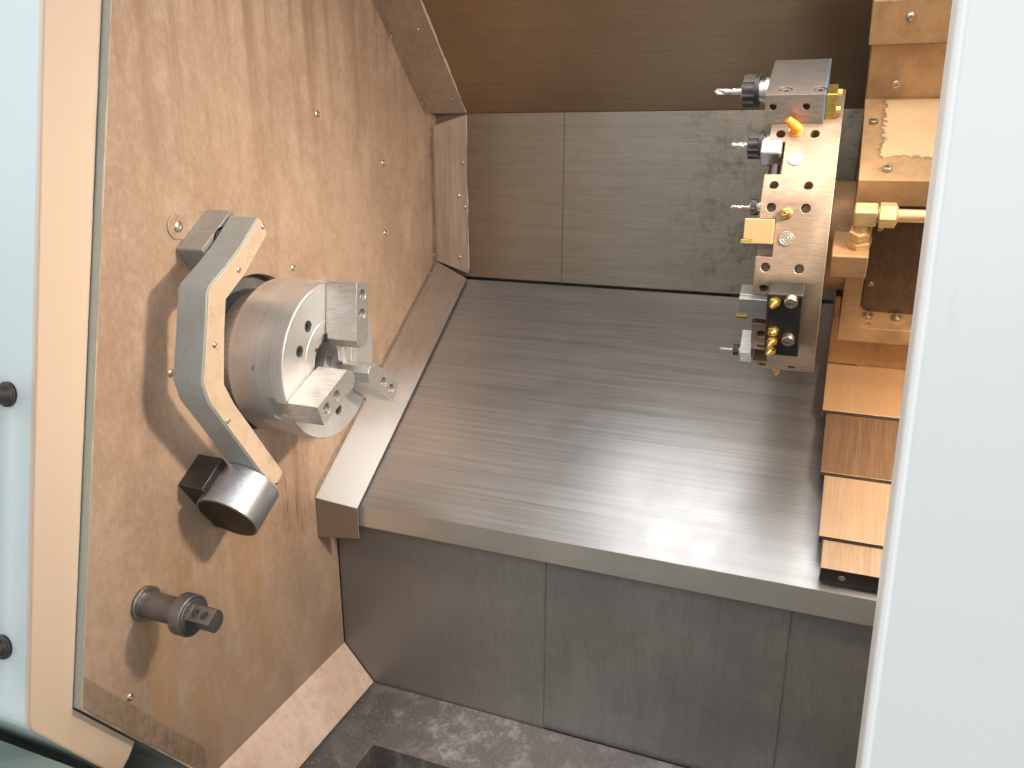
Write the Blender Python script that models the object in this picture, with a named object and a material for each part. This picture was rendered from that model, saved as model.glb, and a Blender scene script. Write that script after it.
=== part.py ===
"""CNC turning lathe with a slanted bed, open sliding door, three-jaw chuck and drum turret.

Sizes are in metres. Shapes are drawn in spindle coordinates: x runs along the spindle away from
the headstock, y runs into the machine, z runs up, and zero is the centre of the chuck's front
face. place_all moves the finished machine so that zero is the middle of its footprint.
"""
import bmesh
import bpy
from math import atan2, cos, degrees, hypot, pi, radians, sin, tan
from mathutils import Matrix, Vector

# Whole machine, measured from the centre of the chuck's front face
LEFT_REACH = 1.20
RIGHT_REACH = 1.75
FRONT_REACH = 0.58
BACK_REACH = 1.10
SPINDLE_HEIGHT = 1.08
TOP_REACH = 0.87

# Clearance between pieces that touch, sheet thickness, and overrun of every cutter
FIT = 0.0003
SHEET = 0.003
OVERRUN = 0.01

# Base: welded block with feet, sill at the front and a pocket for the chip trough
FOOT_HEIGHT = 0.04
FOOT_RADIUS = 0.05
FOOT_INSET = 0.12
BASE_TOP_HEIGHT = 0.28
SILL_HEIGHT = 0.63
SILL_DEPTH = 0.115
APRON_ANGLE = radians(57.0)
TROUGH_LEFT = 0.005
TROUGH_RIGHT = 1.10
TROUGH_FRONT = -0.20
TROUGH_BACK = 0.047
TROUGH_DEPTH = 0.145
PAN_SHEET = 0.0025
PAN_RIM_HEIGHT = 0.033
PAN_FALL = 0.020
PAN_GAP = 0.003

# Chamber: left wall (bulkhead), right wall, front lean
WALL_FACE = -0.145
WALL_THICKNESS = 0.021
WALL_BACK = 0.74
RIGHT_WALL_FACE = 1.25
WALL_HOLE_RADIUS = 0.131
WALL_CORNER_Y = -0.423
WALL_CORNER_DROP = 0.398
WALL_LEAN = 0.2326
WALL_FOOT_Y = -0.223
WALL_FOOT_DROP = 0.685
LIP_ROOM = 0.009
WALL_ROOM = 0.005

# Slanted bed cover and the three skirts below its front lip
COVER_FRONT_Y = 0.162
COVER_FRONT_DROP = 0.339
COVER_BACK_Y = 0.677
COVER_SLOPE = radians(35.2)
COVER_LIP = 0.046
COVER_LEFT = -0.10
COVER_END_ROOM = 0.09
COVER_RIGHT = RIGHT_REACH - COVER_END_ROOM
COVER_WINDOW_MARGIN = 0.038
SKIRT_Y = 0.190
SKIRT_TOP_DROP = 0.35
SKIRT_SEAM_LEFT = 0.306
SKIRT_SEAM_RIGHT = 0.736
SKIRT_LAP = 0.020
SKIRT_FLOOR_GAP = 0.030

# Back and upper panels
BACK_PANEL_Y = 0.683
BACK_PANEL_FOOT = 0.030
BACK_PANEL_TOP = 0.400
UPPER_FOOT_Y = 0.685
UPPER_LEAN = 1.0174

# Deflector strips between the wall and the panels
TRIM_WIDTH = 0.078
TRIM_SHEET = 0.0025
TRIM_RAISE = 0.030
TRIM_FRONT_Y = 0.126
TRIM_NOSE_Y = 0.150
TRIM_BACK_RAISE = 0.014
TRIM_TOP_SLANT = 0.024
TRIM_NOSE_DROP = 0.020
PAN_TRIM_DROP = 0.685
PAN_TRIM_REACH = 0.068

# Slideways: X runs up a 30 degree slope through the spindle axis
SLOPE = radians(30.0)
BED_PLANE = -0.46
BED_FRONT_Y = 0.235
BED_BACK_Y = 0.72
BED_END_ROOM = 0.05
BED_LEFT = -LEFT_REACH + BED_END_ROOM
BED_RIGHT = RIGHT_REACH - BED_END_ROOM
WAY_HEIGHT = 0.025
WAY_WIDTH = 0.07
WAY_LOW = 0.06
WAY_HIGH = 0.44

# Spindle, headstock and motor
CHUCK_LENGTH = 0.100
CHUCK_RADIUS = 0.127
CHUCK_BORE = 0.033
CHUCK_RECESS_RADIUS = 0.048
CHUCK_RECESS_DEPTH = 0.006
CHUCK_TURN = radians(83.0)
CHUCK_CHAMFER = 0.003
FACE_SCREW_CIRCLE = 0.087
FACE_SCREW_SPREAD = radians(14.0)
FACE_SCREW_RADIUS = 0.0095
FACE_SCREW_DEPTH = 0.008
SLOT_WIDTH = 0.026
SLOT_DEPTH = 0.020
SLOT_FOOT_WIDTH = 0.042
SLOT_FOOT_DEPTH = 0.014
JAW_INNER = 0.026
JAW_LENGTH = 0.103
JAW_WIDTH = 0.036
JAW_HEIGHT = 0.057
JAW_STAND = 0.003
JAW_STROKE = 0.0044
JAW_SCREW_RADIUS = 0.0085
JAW_SCREW_DEPTH = 0.014
JAW_SCREW_INSET = 0.019
JAW_SCREW_PITCH = 0.030
NOSE_RADIUS = 0.105
NOSE_LENGTH = 0.042
SPINDLE_RADIUS = 0.0697
SPINDLE_REAR_RADIUS = 0.0547
SPINDLE_BORE = 0.033
HEADSTOCK_FRONT = -0.170
HEADSTOCK_BACK = -0.72
HEADSTOCK_RADIUS = 0.148
CYLINDER_END_ROOM = 0.08
CYLINDER_LENGTH = 0.14
CYLINDER_BACK = -LEFT_REACH + CYLINDER_END_ROOM
MOTOR_BACK = CYLINDER_BACK + CYLINDER_LENGTH
MOTOR_RADIUS = 0.135
MOTOR_FIN_DEPTH = 0.010
MOTOR_FINS = 6
CYLINDER_RADIUS = 0.085
CYLINDER_FLANGE = 0.060

# Carriage, cross slide and way covers, in slope coordinates (a up the slope, b off it)
SADDLE_LEFT = 0.77
SADDLE_RIGHT = 1.11
SADDLE_LOW = 0.05
SADDLE_HIGH = 0.53
SADDLE_TOP = -0.345
RUNNER_HEIGHT = 0.020
RUNNER_WIDTH = 0.05
RUNNER_INSET = 0.03
SLIDE_LEFT = 0.749
SLIDE_RIGHT = 1.13
SLIDE_LOW = 0.41
SLIDE_HIGH = 0.60
SLIDE_STEP = -0.30
SLIDE_TOP = -0.1403
SHINGLE_SHEET = 0.002
SHINGLE_STEP = 0.007
SHINGLE_FLANGE = 0.020
SHINGLE_TOP = -0.3017
SHINGLE_1_LOW = 0.29
SHINGLE_2_LOW = 0.156
SHINGLE_3_LOW = 0.033
SHINGLE_4_LOW = -0.020
SHINGLE_LAP = 0.042
END_FACE_HEIGHT = 0.039

# Turret housing, motor cover and coolant block, in the same coordinates
TURRET_UP_SLOPE = 0.391
HOUSING_LEFT = 0.757
HOUSING_RIGHT = 1.12
HOUSING_LOW = 0.30
HOUSING_HIGH = 0.58
HOUSING_TOP = 0.16
FLANGE_THICKNESS = 0.030
FLANGE_HIGH = 0.62
RECESS_DEPTH = 0.042
RECESS_LEFT_WALL = 0.026
RECESS_RIGHT_WALL = 0.05
RECESS_TOP_WALL = 0.04
RECESS_CORNER = 0.018
NECK_RADIUS = 0.085
NECK_GAP = 0.0303
MOTOR_COVER_LOW = 0.53
MOTOR_COVER_HIGH = 0.655
MOTOR_COVER_HEIGHT = 0.147
MOTOR_COVER_LIP = 0.012
MOTOR_LIP_HEIGHT = 0.057
COOLANT_LEFT = 0.733
COOLANT_RIGHT = 0.782
COOLANT_RISER = 0.768
COOLANT_DEPTH = 0.060
COOLANT_LOW = 0.036
COOLANT_HIGH = 0.075
PIPE_RADIUS = 0.008
ELBOW_RADIUS = 0.0105
PIPE_RISE = 0.050
PIPE_REACH = 0.25
NUT_RADIUS = 0.015

# Turret disc and tools
DISC_LEFT = 0.634
DISC_RIGHT = 0.727
DISC_RADIUS = 0.222
DISC_SIDES = 12
DISC_PHASE = radians(-4.2)
HOLE_RADIUS = 0.0062
HOLE_DEPTH = 0.016
HOLE_SPACING_X = 0.045
HOLE_SPACING_T = 0.082
HOLE_MIDDLE = 0.671
POCKET_WIDTH = 0.022
POCKET_DEPTH = 0.024
SHANK_OVERHANG = 0.018
SHANK_PROUD = 0.012
SHANK_HEIGHT = 0.034
INSERT_SIZE = 0.012
INSERT_THICKNESS = 0.005
HOLDER_HEIGHT = 0.042
HOLDER_FRONT = 0.058
HOLDER_BACK = 0.075
HOLDER_OVERHANG = 0.010
HOLDER_WIDTH = 0.079
COLLET_RISE = 0.024
LOW_BLOCK_LEFT = 0.654
LOW_BLOCK_WIDTH = 0.050
LOW_BLOCK_LENGTH = 0.110
LOW_CAPS = (-0.047, 0.020)
DRILL_BLOCK_WIDTH = 0.018
DRILL_BLOCK_SIZE = 0.040
LOW_BLOCK_HEIGHT = 0.030
CAP_RADIUS = 0.009
CAP_HEIGHT = 0.010
COLLET_BORE_IN = 0.012
# Collet chucks and drills: nut radius, nut length, neck, drill radius, drill length
LARGE_COLLET = (0.023, 0.024, 0.014, 0.0045, 0.042)
SMALL_COLLET = (0.0195, 0.022, 0.008, 0.004, 0.026)
FINE_COLLET = (0.011, 0.010, 0.004, 0.002, 0.028)
BLOCK_COLLET = (0.009, 0.009, 0.008, 0.002, 0.022)

# Tool setter: arm outline follows the photo, drum and bracket carry it
ARM_BACK = -0.094
ARM_FRONT = -0.042
ARM_PIVOT_Y = -0.150
ARM_PIVOT_Z = -0.190
DRUM_X = -0.081
DRUM_RADIUS = 0.0505
DRUM_BELOW = 0.040
DRUM_ABOVE = 0.02905
DRUM_BEVEL = 0.003
BRACKET_REACH = 0.046
BRACKET_ARM = 0.060
BRACKET_LENGTH = 0.058
PROBE_RADIUS = 0.017
PROBE_LENGTH = 0.026
PARK_LENGTH = 0.086
PARK_WIDTH = 0.050
PARK_SHIFT_Y = 0.004
PARK_SHIFT_Z = 0.003
PARK_HEIGHT = 0.0475
PARK_ROOM = 0.003
STUB_Y = -0.297
STUB_DROP = 0.307
STUB_FLANGE_RADIUS = 0.026
STUB_BODY_RADIUS = 0.0195
STUB_COLLAR_RADIUS = 0.030
STUB_END_RADIUS = 0.014

# Front: door, fixed panels, handle, window, rail, control panel
DOOR_FACE_Y = -0.4052
DOOR_LEAN = 0.2153
DOOR_THICKNESS = 0.052
DOOR_END_ROOM = 0.065
DOOR_LEFT = -LEFT_REACH + DOOR_END_ROOM
DOOR_END = -0.160
DOOR_TRAVEL = 0.950
DOOR_TOP_DROP = 0.15
DOOR_TOP = TOP_REACH - DOOR_TOP_DROP
DOOR_CORNER_DROP = 0.383
DOOR_RETURN = 0.205
DOOR_RETURN_THICKNESS = 0.025
DOOR_BEVEL = 0.012
PANEL_LEFT = 0.800
PANEL_THICKNESS = 0.040
PANEL_BEVEL = 0.008
DOOR_HEAD_GAP = 0.015
PANEL_HEAD = DOOR_TOP + DOOR_HEAD_GAP
WINDOW_STILE = 0.185
WINDOW_LEFT = DOOR_LEFT + WINDOW_STILE
WINDOW_RIGHT = -0.42
WINDOW_LOW = -0.16
WINDOW_HIGH = 0.42
WINDOW_CORNER = 0.04
GLASS_THICKNESS = 0.012
GLASS_ROOM = 0.0006
HANDLE_X = -0.207
HANDLE_LOW = -0.318
HANDLE_HIGH = 0.068
HANDLE_RADIUS = 0.011
HANDLE_STAND = 0.045
COLLAR_RADIUS = 0.015
COLLAR_LENGTH = 0.022
RAIL_HEIGHT = 0.0144
RAIL_WIDTH = 0.030
CONTROL_END_ROOM = 0.13
CONTROL_WIDTH = 0.50
CONTROL_RIGHT = RIGHT_REACH - CONTROL_END_ROOM
CONTROL_LEFT = CONTROL_RIGHT - CONTROL_WIDTH
CONTROL_LOW = -0.10
CONTROL_HIGH = 0.55
CONTROL_DEPTH = 0.050
SCREEN_INSET = 0.05
SCREEN_HEIGHT = 0.28
SCREEN_DEPTH = 0.004
STOP_RADIUS = 0.020
STOP_STEM = 0.011
STOP_HEIGHT = 0.024
STOP_TRAVEL = 0.006
WHEEL_RADIUS = 0.035
WHEEL_HEIGHT = 0.016
KNOB_SPREAD = 0.14
END_SHEET = 0.02
ROOF_THICKNESS = 0.0197

# Facets of round pieces
SIDES = 40
SMALL_SIDES = 12
NUT_SIDES = 6

Z_FLOOR = -SPINDLE_HEIGHT
BASE_BOTTOM = Z_FLOOR + FOOT_HEIGHT
BASE_TOP = Z_FLOOR + BASE_TOP_HEIGHT
SILL_TOP = Z_FLOOR + SILL_HEIGHT
DISC_APOTHEM = DISC_RADIUS * cos(pi / DISC_SIDES)
UP = Vector((0, cos(SLOPE), sin(SLOPE)))
OFF = Vector((0, -sin(SLOPE), cos(SLOPE)))
AXIS_X = Vector((1, 0, 0))
TURRET_CENTRE = UP * TURRET_UP_SLOPE
ARM_AXIS = Vector((0, sin(APRON_ANGLE), cos(APRON_ANGLE)))
ARM_DOWN = Vector((0, cos(APRON_ANGLE), -sin(APRON_ANGLE)))
ARM_PIVOT = Vector((DRUM_X, ARM_PIVOT_Y, ARM_PIVOT_Z))
FACE_NORMAL = Vector((0, -1, DOOR_LEAN)).normalized()
FACE_UP = Vector((0, DOOR_LEAN, 1)).normalized()


def clear_scene():
    for obj in list(bpy.data.objects):
        bpy.data.objects.remove(obj)


def material(name, colour, roughness, metallic):
    """Return the Principled material of one finish, made once."""
    found = bpy.data.materials.get(name)
    if found:
        return found
    made = bpy.data.materials.new(name)
    made.use_nodes = True
    shader = made.node_tree.nodes["Principled BSDF"]
    shader.inputs["Base Color"].default_value = (*colour, 1)
    shader.inputs["Roughness"].default_value = roughness
    shader.inputs["Metallic"].default_value = metallic
    return made


FINISHES = {
    "machined_steel": ((0.62, 0.61, 0.59), 0.3, 1),
    "brushed_sheet": ((0.42, 0.40, 0.38), 0.35, 1),
    "stained_wall": ((0.52, 0.40, 0.29), 0.45, 0.6),
    "cream_paint": ((0.80, 0.66, 0.53), 0.5, 0),
    "white_paint": ((0.80, 0.82, 0.83), 0.4, 0),
    "grey_paint": ((0.38, 0.41, 0.41), 0.5, 0),
    "dark_paint": ((0.10, 0.12, 0.12), 0.6, 0),
    "black_oxide": ((0.07, 0.07, 0.08), 0.4, 0.8),
    "cast_iron": ((0.25, 0.24, 0.23), 0.6, 0.7),
    "tan_cast": ((0.50, 0.37, 0.23), 0.5, 0.4),
    "glass": ((0.55, 0.62, 0.62), 0.05, 0),
    "red_plastic": ((0.75, 0.05, 0.04), 0.4, 0),
}


def add_object(name, bm, finish, smooth=False):
    """Turn a bmesh into a named object with its own material."""
    bmesh.ops.recalc_face_normals(bm, faces=bm.faces)
    mesh = bpy.data.meshes.new(name)
    bm.to_mesh(mesh)
    bm.free()
    colour, roughness, metallic = FINISHES[finish]
    mesh.materials.append(material(name + "_" + finish, colour, roughness, metallic))
    if smooth:
        mesh.shade_smooth()
        mesh.set_sharp_from_angle(angle=radians(35))
    obj = bpy.data.objects.new(name, mesh)
    bpy.context.collection.objects.link(obj)
    return obj


def prism(outline, direction):
    """Closed solid from a flat outline of points, extruded along a vector."""
    bm = bmesh.new()
    face = bm.faces.new([bm.verts.new(point) for point in outline])
    made = bmesh.ops.extrude_face_region(bm, geom=[face])
    moved = [item for item in made["geom"] if isinstance(item, bmesh.types.BMVert)]
    bmesh.ops.translate(bm, verts=moved, vec=direction)
    return bm


def side_prism(outline, x0, x1):
    """Solid whose outline is given as (y, z) and which runs from x0 to x1."""
    return prism([Vector((x0, y, z)) for y, z in outline], Vector((x1 - x0, 0, 0)))


def framed_box(low, high, axes=(AXIS_X, Vector((0, 1, 0)), Vector((0, 0, 1))), origin=Vector()):
    """Box between two corners given along three axes of a frame."""
    def point(i, j, k):
        shares = (high[0] if i else low[0], high[1] if j else low[1], high[2] if k else low[2])
        return origin + axes[0] * shares[0] + axes[1] * shares[1] + axes[2] * shares[2]
    base = [point(0, 0, 0), point(1, 0, 0), point(1, 1, 0), point(0, 1, 0)]
    return prism(base, axes[2] * (high[2] - low[2]))


def slope_box(x0, x1, a0, a1, b0, b1):
    return framed_box((x0, a0, b0), (x1, a1, b1), (AXIS_X, UP, OFF))


def turned(profile, origin, axis, sides=SIDES):
    """Solid of revolution. profile is a closed loop of (distance along the axis, radius)."""
    bm = bmesh.new()
    spin = axis.to_track_quat("Z", "Y").to_matrix()
    rings = []
    for along, radius in profile:
        if radius == 0:
            rings.append([bm.verts.new(origin + axis * along)])
            continue
        turns = [2 * pi * i / sides for i in range(sides)]
        rings.append([bm.verts.new(origin + axis * along + spin @ Vector((radius * cos(t), radius * sin(t), 0)))
                      for t in turns])
    for ring, after in zip(rings, rings[1:] + rings[:1]):
        if len(ring) == 1 and len(after) == 1:
            continue
        for i in range(sides):
            corners = [ring[i % len(ring)], ring[(i + 1) % len(ring)],
                       after[(i + 1) % len(after)], after[i % len(after)]]
            distinct = list(dict.fromkeys(corners))
            bm.faces.new(distinct)
    return bm


def cylinder(origin, axis, radius, start, end, sides=SIDES):
    return turned([(start, 0), (start, radius), (end, radius), (end, 0)], origin, axis, sides)


def joined(*pieces):
    """One bmesh that holds several, which are freed."""
    whole = bmesh.new()
    scratch = bpy.data.meshes.new("scratch")
    for piece in pieces:
        bmesh.ops.recalc_face_normals(piece, faces=piece.faces)
        piece.to_mesh(scratch)
        whole.from_mesh(scratch)
        piece.free()
    bpy.data.meshes.remove(scratch)
    return whole


def combine(obj, tool_mesh, operation, label):
    """Cut from or add to an object with a helper solid, which is shown as wire only."""
    tool = add_object(obj.name + "_" + label, tool_mesh, "machined_steel")
    tool.hide_render = True
    tool.display_type = "WIRE"
    change = obj.modifiers.new(label, "BOOLEAN")
    change.operation = operation
    change.object = tool
    return tool


def cut(obj, tool_mesh, label="cutter"):
    return combine(obj, tool_mesh, "DIFFERENCE", label)


def fuse(obj, tool_mesh, label="addition"):
    return combine(obj, tool_mesh, "UNION", label)


def bevel(obj, width, angle=radians(40), segments=1):
    change = obj.modifiers.new("edge", "BEVEL")
    change.width = width
    change.segments = segments
    change.limit_method = "ANGLE"
    change.angle_limit = angle
    return obj


def bevel_mesh(bm, width, chosen, segments=3):
    """Round the chosen edges of a bmesh."""
    edges = [edge for edge in bm.edges if chosen(edge)]
    bmesh.ops.bevel(bm, geom=edges, offset=width, segments=segments, affect="EDGES", profile=0.5)
    return bm


def runs_along(axis):
    """Test for edges that are parallel to an axis."""
    def test(edge):
        line = (edge.verts[1].co - edge.verts[0].co).normalized()
        return abs(line.dot(axis)) > cos(radians(2))
    return test


def move_origin(obj, point):
    """Put an object's origin on its joint without moving its shape."""
    obj.data.transform(Matrix.Translation(-point))
    obj.location = point
    return obj


def solidified(obj, thickness, offset=-1):
    change = obj.modifiers.new("thickness", "SOLIDIFY")
    change.thickness = thickness
    change.offset = offset
    change.use_even_offset = True
    return obj


def wall_front(z):
    """Front edge of the chamber walls, which leans back."""
    return WALL_CORNER_Y + (z + WALL_CORNER_DROP) * WALL_LEAN


def door_front(z):
    """Front plane of the door and the fixed front panels."""
    return DOOR_FACE_Y + z * DOOR_LEAN


def cover_top(y, raise_by=0.0):
    """Height of the slanted bed cover, or of a plane that stands off it."""
    return -COVER_FRONT_DROP + (y - COVER_FRONT_Y) * tan(COVER_SLOPE) + raise_by / cos(COVER_SLOPE)


def apron_y(z):
    """Sloping inner side of the base below the sill."""
    return -FRONT_REACH + SILL_DEPTH + (SILL_TOP - z) / tan(APRON_ANGLE)


def upper_y(z):
    return UPPER_FOOT_Y - (z - BACK_PANEL_TOP) * UPPER_LEAN


def slope_point(x, a, b):
    return AXIS_X * x + UP * a + OFF * b


def base():
    outline = [(-FRONT_REACH, BASE_BOTTOM), (-FRONT_REACH, SILL_TOP), (apron_y(SILL_TOP), SILL_TOP),
               (apron_y(BASE_TOP), BASE_TOP), (BACK_REACH, BASE_TOP), (BACK_REACH, BASE_BOTTOM)]
    block = add_object("base", side_prism(outline, -LEFT_REACH, RIGHT_REACH), "grey_paint")
    deep = BASE_TOP + PAN_RIM_HEIGHT - PAN_FALL - TROUGH_DEPTH - PAN_SHEET - PAN_GAP
    room = PAN_SHEET + PAN_GAP
    cut(block, framed_box((TROUGH_LEFT - room, TROUGH_FRONT - room, deep),
                          (TROUGH_RIGHT + room, TROUGH_BACK + room, SILL_TOP)), "trough")
    feet = []
    middle = (RIGHT_REACH - LEFT_REACH) / 2
    for x in (-LEFT_REACH + FOOT_INSET, middle, RIGHT_REACH - FOOT_INSET):
        for y in (-FRONT_REACH + FOOT_INSET, BACK_REACH - FOOT_INSET):
            feet.append(cylinder(Vector((x, y, Z_FLOOR)), Vector((0, 0, 1)), FOOT_RADIUS, 0,
                                 FOOT_HEIGHT + OVERRUN, SMALL_SIDES))
    fuse(block, joined(*feet), "feet")


def chip_pan():
    """Sheet pan: rim, floor that falls to the trough, and the trough itself."""
    left, right = WALL_FACE + PAN_GAP, RIGHT_WALL_FACE - PAN_GAP
    front = apron_y(BASE_TOP) + PAN_GAP
    back = SKIRT_Y - PAN_GAP
    rim = BASE_TOP + PAN_RIM_HEIGHT
    mouth = rim - PAN_FALL
    outer = (left, right, front, back)
    inner = (TROUGH_LEFT, TROUGH_RIGHT, TROUGH_FRONT, TROUGH_BACK)
    levels = [(outer, BASE_TOP + FIT), (outer, rim), (inner, mouth), (inner, mouth - TROUGH_DEPTH)]
    bm = bmesh.new()
    rings = []
    for (x0, x1, y0, y1), z in levels:
        rings.append([bm.verts.new(corner) for corner in ((x0, y0, z), (x1, y0, z), (x1, y1, z), (x0, y1, z))])
    for ring, after in zip(rings, rings[1:]):
        for i in range(4):
            bm.faces.new((ring[i], ring[(i + 1) % 4], after[(i + 1) % 4], after[i]))
    bm.faces.new(rings[-1])
    pan = add_object("chip_pan", bm, "brushed_sheet")
    solidified(pan, PAN_SHEET, 1 if pan.data.polygons[-1].normal.z < 0 else -1)


def bed():
    def at(a, b):
        point = slope_point(0, a, b)
        return (point.y, point.z)
    way_top = BED_PLANE + WAY_HEIGHT
    front_z = (BED_PLANE + sin(SLOPE) * BED_FRONT_Y) / cos(SLOPE)
    back_z = (BED_PLANE + sin(SLOPE) * BED_BACK_Y) / cos(SLOPE)
    outline = [(BED_FRONT_Y, BASE_TOP + FIT), (BED_FRONT_Y, front_z)]
    for low in (WAY_LOW, WAY_HIGH):
        outline += [at(low, BED_PLANE), at(low, way_top), at(low + WAY_WIDTH, way_top),
                    at(low + WAY_WIDTH, BED_PLANE)]
    outline += [(BED_BACK_Y, back_z), (BED_BACK_Y, BASE_TOP + FIT)]
    add_object("bed", side_prism(outline, BED_LEFT, BED_RIGHT), "cast_iron")


def wall_outline():
    """Chamber side: everything above the bed cover and in front of the skirts."""
    top = TOP_REACH - ROOF_THICKNESS - FIT
    inner_y = SKIRT_Y - PAN_GAP
    nose_y = TRIM_NOSE_Y
    back_y = COVER_BACK_Y - WALL_ROOM
    return [(wall_front(top), top), (WALL_CORNER_Y, -WALL_CORNER_DROP), (WALL_FOOT_Y, -WALL_FOOT_DROP),
            (WALL_FOOT_Y, BASE_TOP + FIT), (inner_y, BASE_TOP + FIT),
            (inner_y, -COVER_FRONT_DROP - COVER_LIP - LIP_ROOM),
            (nose_y, -COVER_FRONT_DROP - COVER_LIP - LIP_ROOM), (nose_y, cover_top(nose_y, WALL_ROOM)),
            (back_y, cover_top(back_y, WALL_ROOM)), (WALL_BACK, cover_top(back_y, WALL_ROOM)), (WALL_BACK, top)]


def chamber_walls():
    left = add_object("headstock_wall", side_prism(wall_outline(), WALL_FACE - WALL_THICKNESS, WALL_FACE),
                      "stained_wall")
    cut(left, cylinder(Vector((WALL_FACE, 0, 0)), AXIS_X, WALL_HOLE_RADIUS, -WALL_THICKNESS - OVERRUN,
                       OVERRUN), "spindle_hole")
    add_object("right_wall", side_prism(wall_outline(), RIGHT_WALL_FACE, RIGHT_WALL_FACE + SHEET),
               "brushed_sheet")


def bed_cover():
    """Slanted stainless sheet with a front lip, open where the saddle comes through."""
    drop = SHEET / cos(COVER_SLOPE)
    lip_z = -COVER_FRONT_DROP - COVER_LIP
    inner_y = COVER_FRONT_Y + SHEET
    outline = [(COVER_FRONT_Y, lip_z), (COVER_FRONT_Y, -COVER_FRONT_DROP),
               (COVER_BACK_Y, cover_top(COVER_BACK_Y)), (COVER_BACK_Y, cover_top(COVER_BACK_Y) - drop),
               (inner_y, cover_top(inner_y) - drop), (inner_y, lip_z)]
    sheet = add_object("bed_cover", side_prism(outline, COVER_LEFT, COVER_RIGHT), "brushed_sheet")
    low_y = COVER_FRONT_Y + COVER_WINDOW_MARGIN
    high_y = COVER_BACK_Y - COVER_WINDOW_MARGIN
    reach = SADDLE_RIGHT + FIT
    window = [(low_y, cover_top(low_y) - OVERRUN), (high_y, cover_top(high_y) - OVERRUN),
              (high_y, cover_top(high_y) + OVERRUN), (low_y, cover_top(low_y) + OVERRUN)]
    cut(sheet, side_prism(window, SADDLE_LEFT - FIT, reach), "window")


def skirt(name, order, x0, x1, z0):
    """One of three overlapping front sheets; each lies just behind the one before."""
    y = SKIRT_Y + order * (SHEET + FIT)
    outline = [(y, z0), (y, -SKIRT_TOP_DROP), (y + SHEET, -SKIRT_TOP_DROP), (y + SHEET, z0)]
    return add_object(name, side_prism(outline, x0, x1), "brushed_sheet")


def skirts():
    skirt("skirt_left", 0, WALL_FACE + FIT, SKIRT_SEAM_LEFT, BASE_TOP + FIT)
    low = BASE_TOP + SKIRT_FLOOR_GAP
    skirt("skirt_middle", 1, SKIRT_SEAM_LEFT - SKIRT_LAP, SKIRT_SEAM_RIGHT, low)
    skirt("skirt_right", 2, SKIRT_SEAM_RIGHT - SKIRT_LAP, COVER_RIGHT, low)


def back_panels():
    x0, x1 = WALL_FACE + FIT, RIGHT_WALL_FACE - FIT
    back = [(BACK_PANEL_Y, BACK_PANEL_FOOT), (BACK_PANEL_Y, BACK_PANEL_TOP),
            (BACK_PANEL_Y + SHEET, BACK_PANEL_TOP), (BACK_PANEL_Y + SHEET, BACK_PANEL_FOOT)]
    add_object("back_panel", side_prism(back, x0, x1), "brushed_sheet")
    foot = BACK_PANEL_TOP + FIT
    top = TOP_REACH - ROOF_THICKNESS - FIT
    thick = SHEET * hypot(1, UPPER_LEAN)
    upper = [(upper_y(foot), foot), (upper_y(top), top), (upper_y(top) + thick, top),
             (upper_y(foot) + thick, foot)]
    add_object("upper_panel", side_prism(upper, x0, x1), "brushed_sheet")


def sheet_faces(faces):
    """Folded sheet, without thickness yet, from faces that share corner points."""
    bm = bmesh.new()
    verts = {}
    for corners in faces:
        made = []
        for corner in corners:
            key = tuple(round(value / FIT) for value in corner)
            if key not in verts:
                verts[key] = bm.verts.new(corner)
            made.append(verts[key])
        bm.faces.new(made)
    return bm


def folded_trim(name, faces, finish):
    """Thin trim made solid by extruding its sheet straight back."""
    bm = sheet_faces(faces)
    bmesh.ops.recalc_face_normals(bm, faces=bm.faces)
    obj = add_object(name, bm, finish)
    return solidified(obj, TRIM_SHEET)


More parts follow.
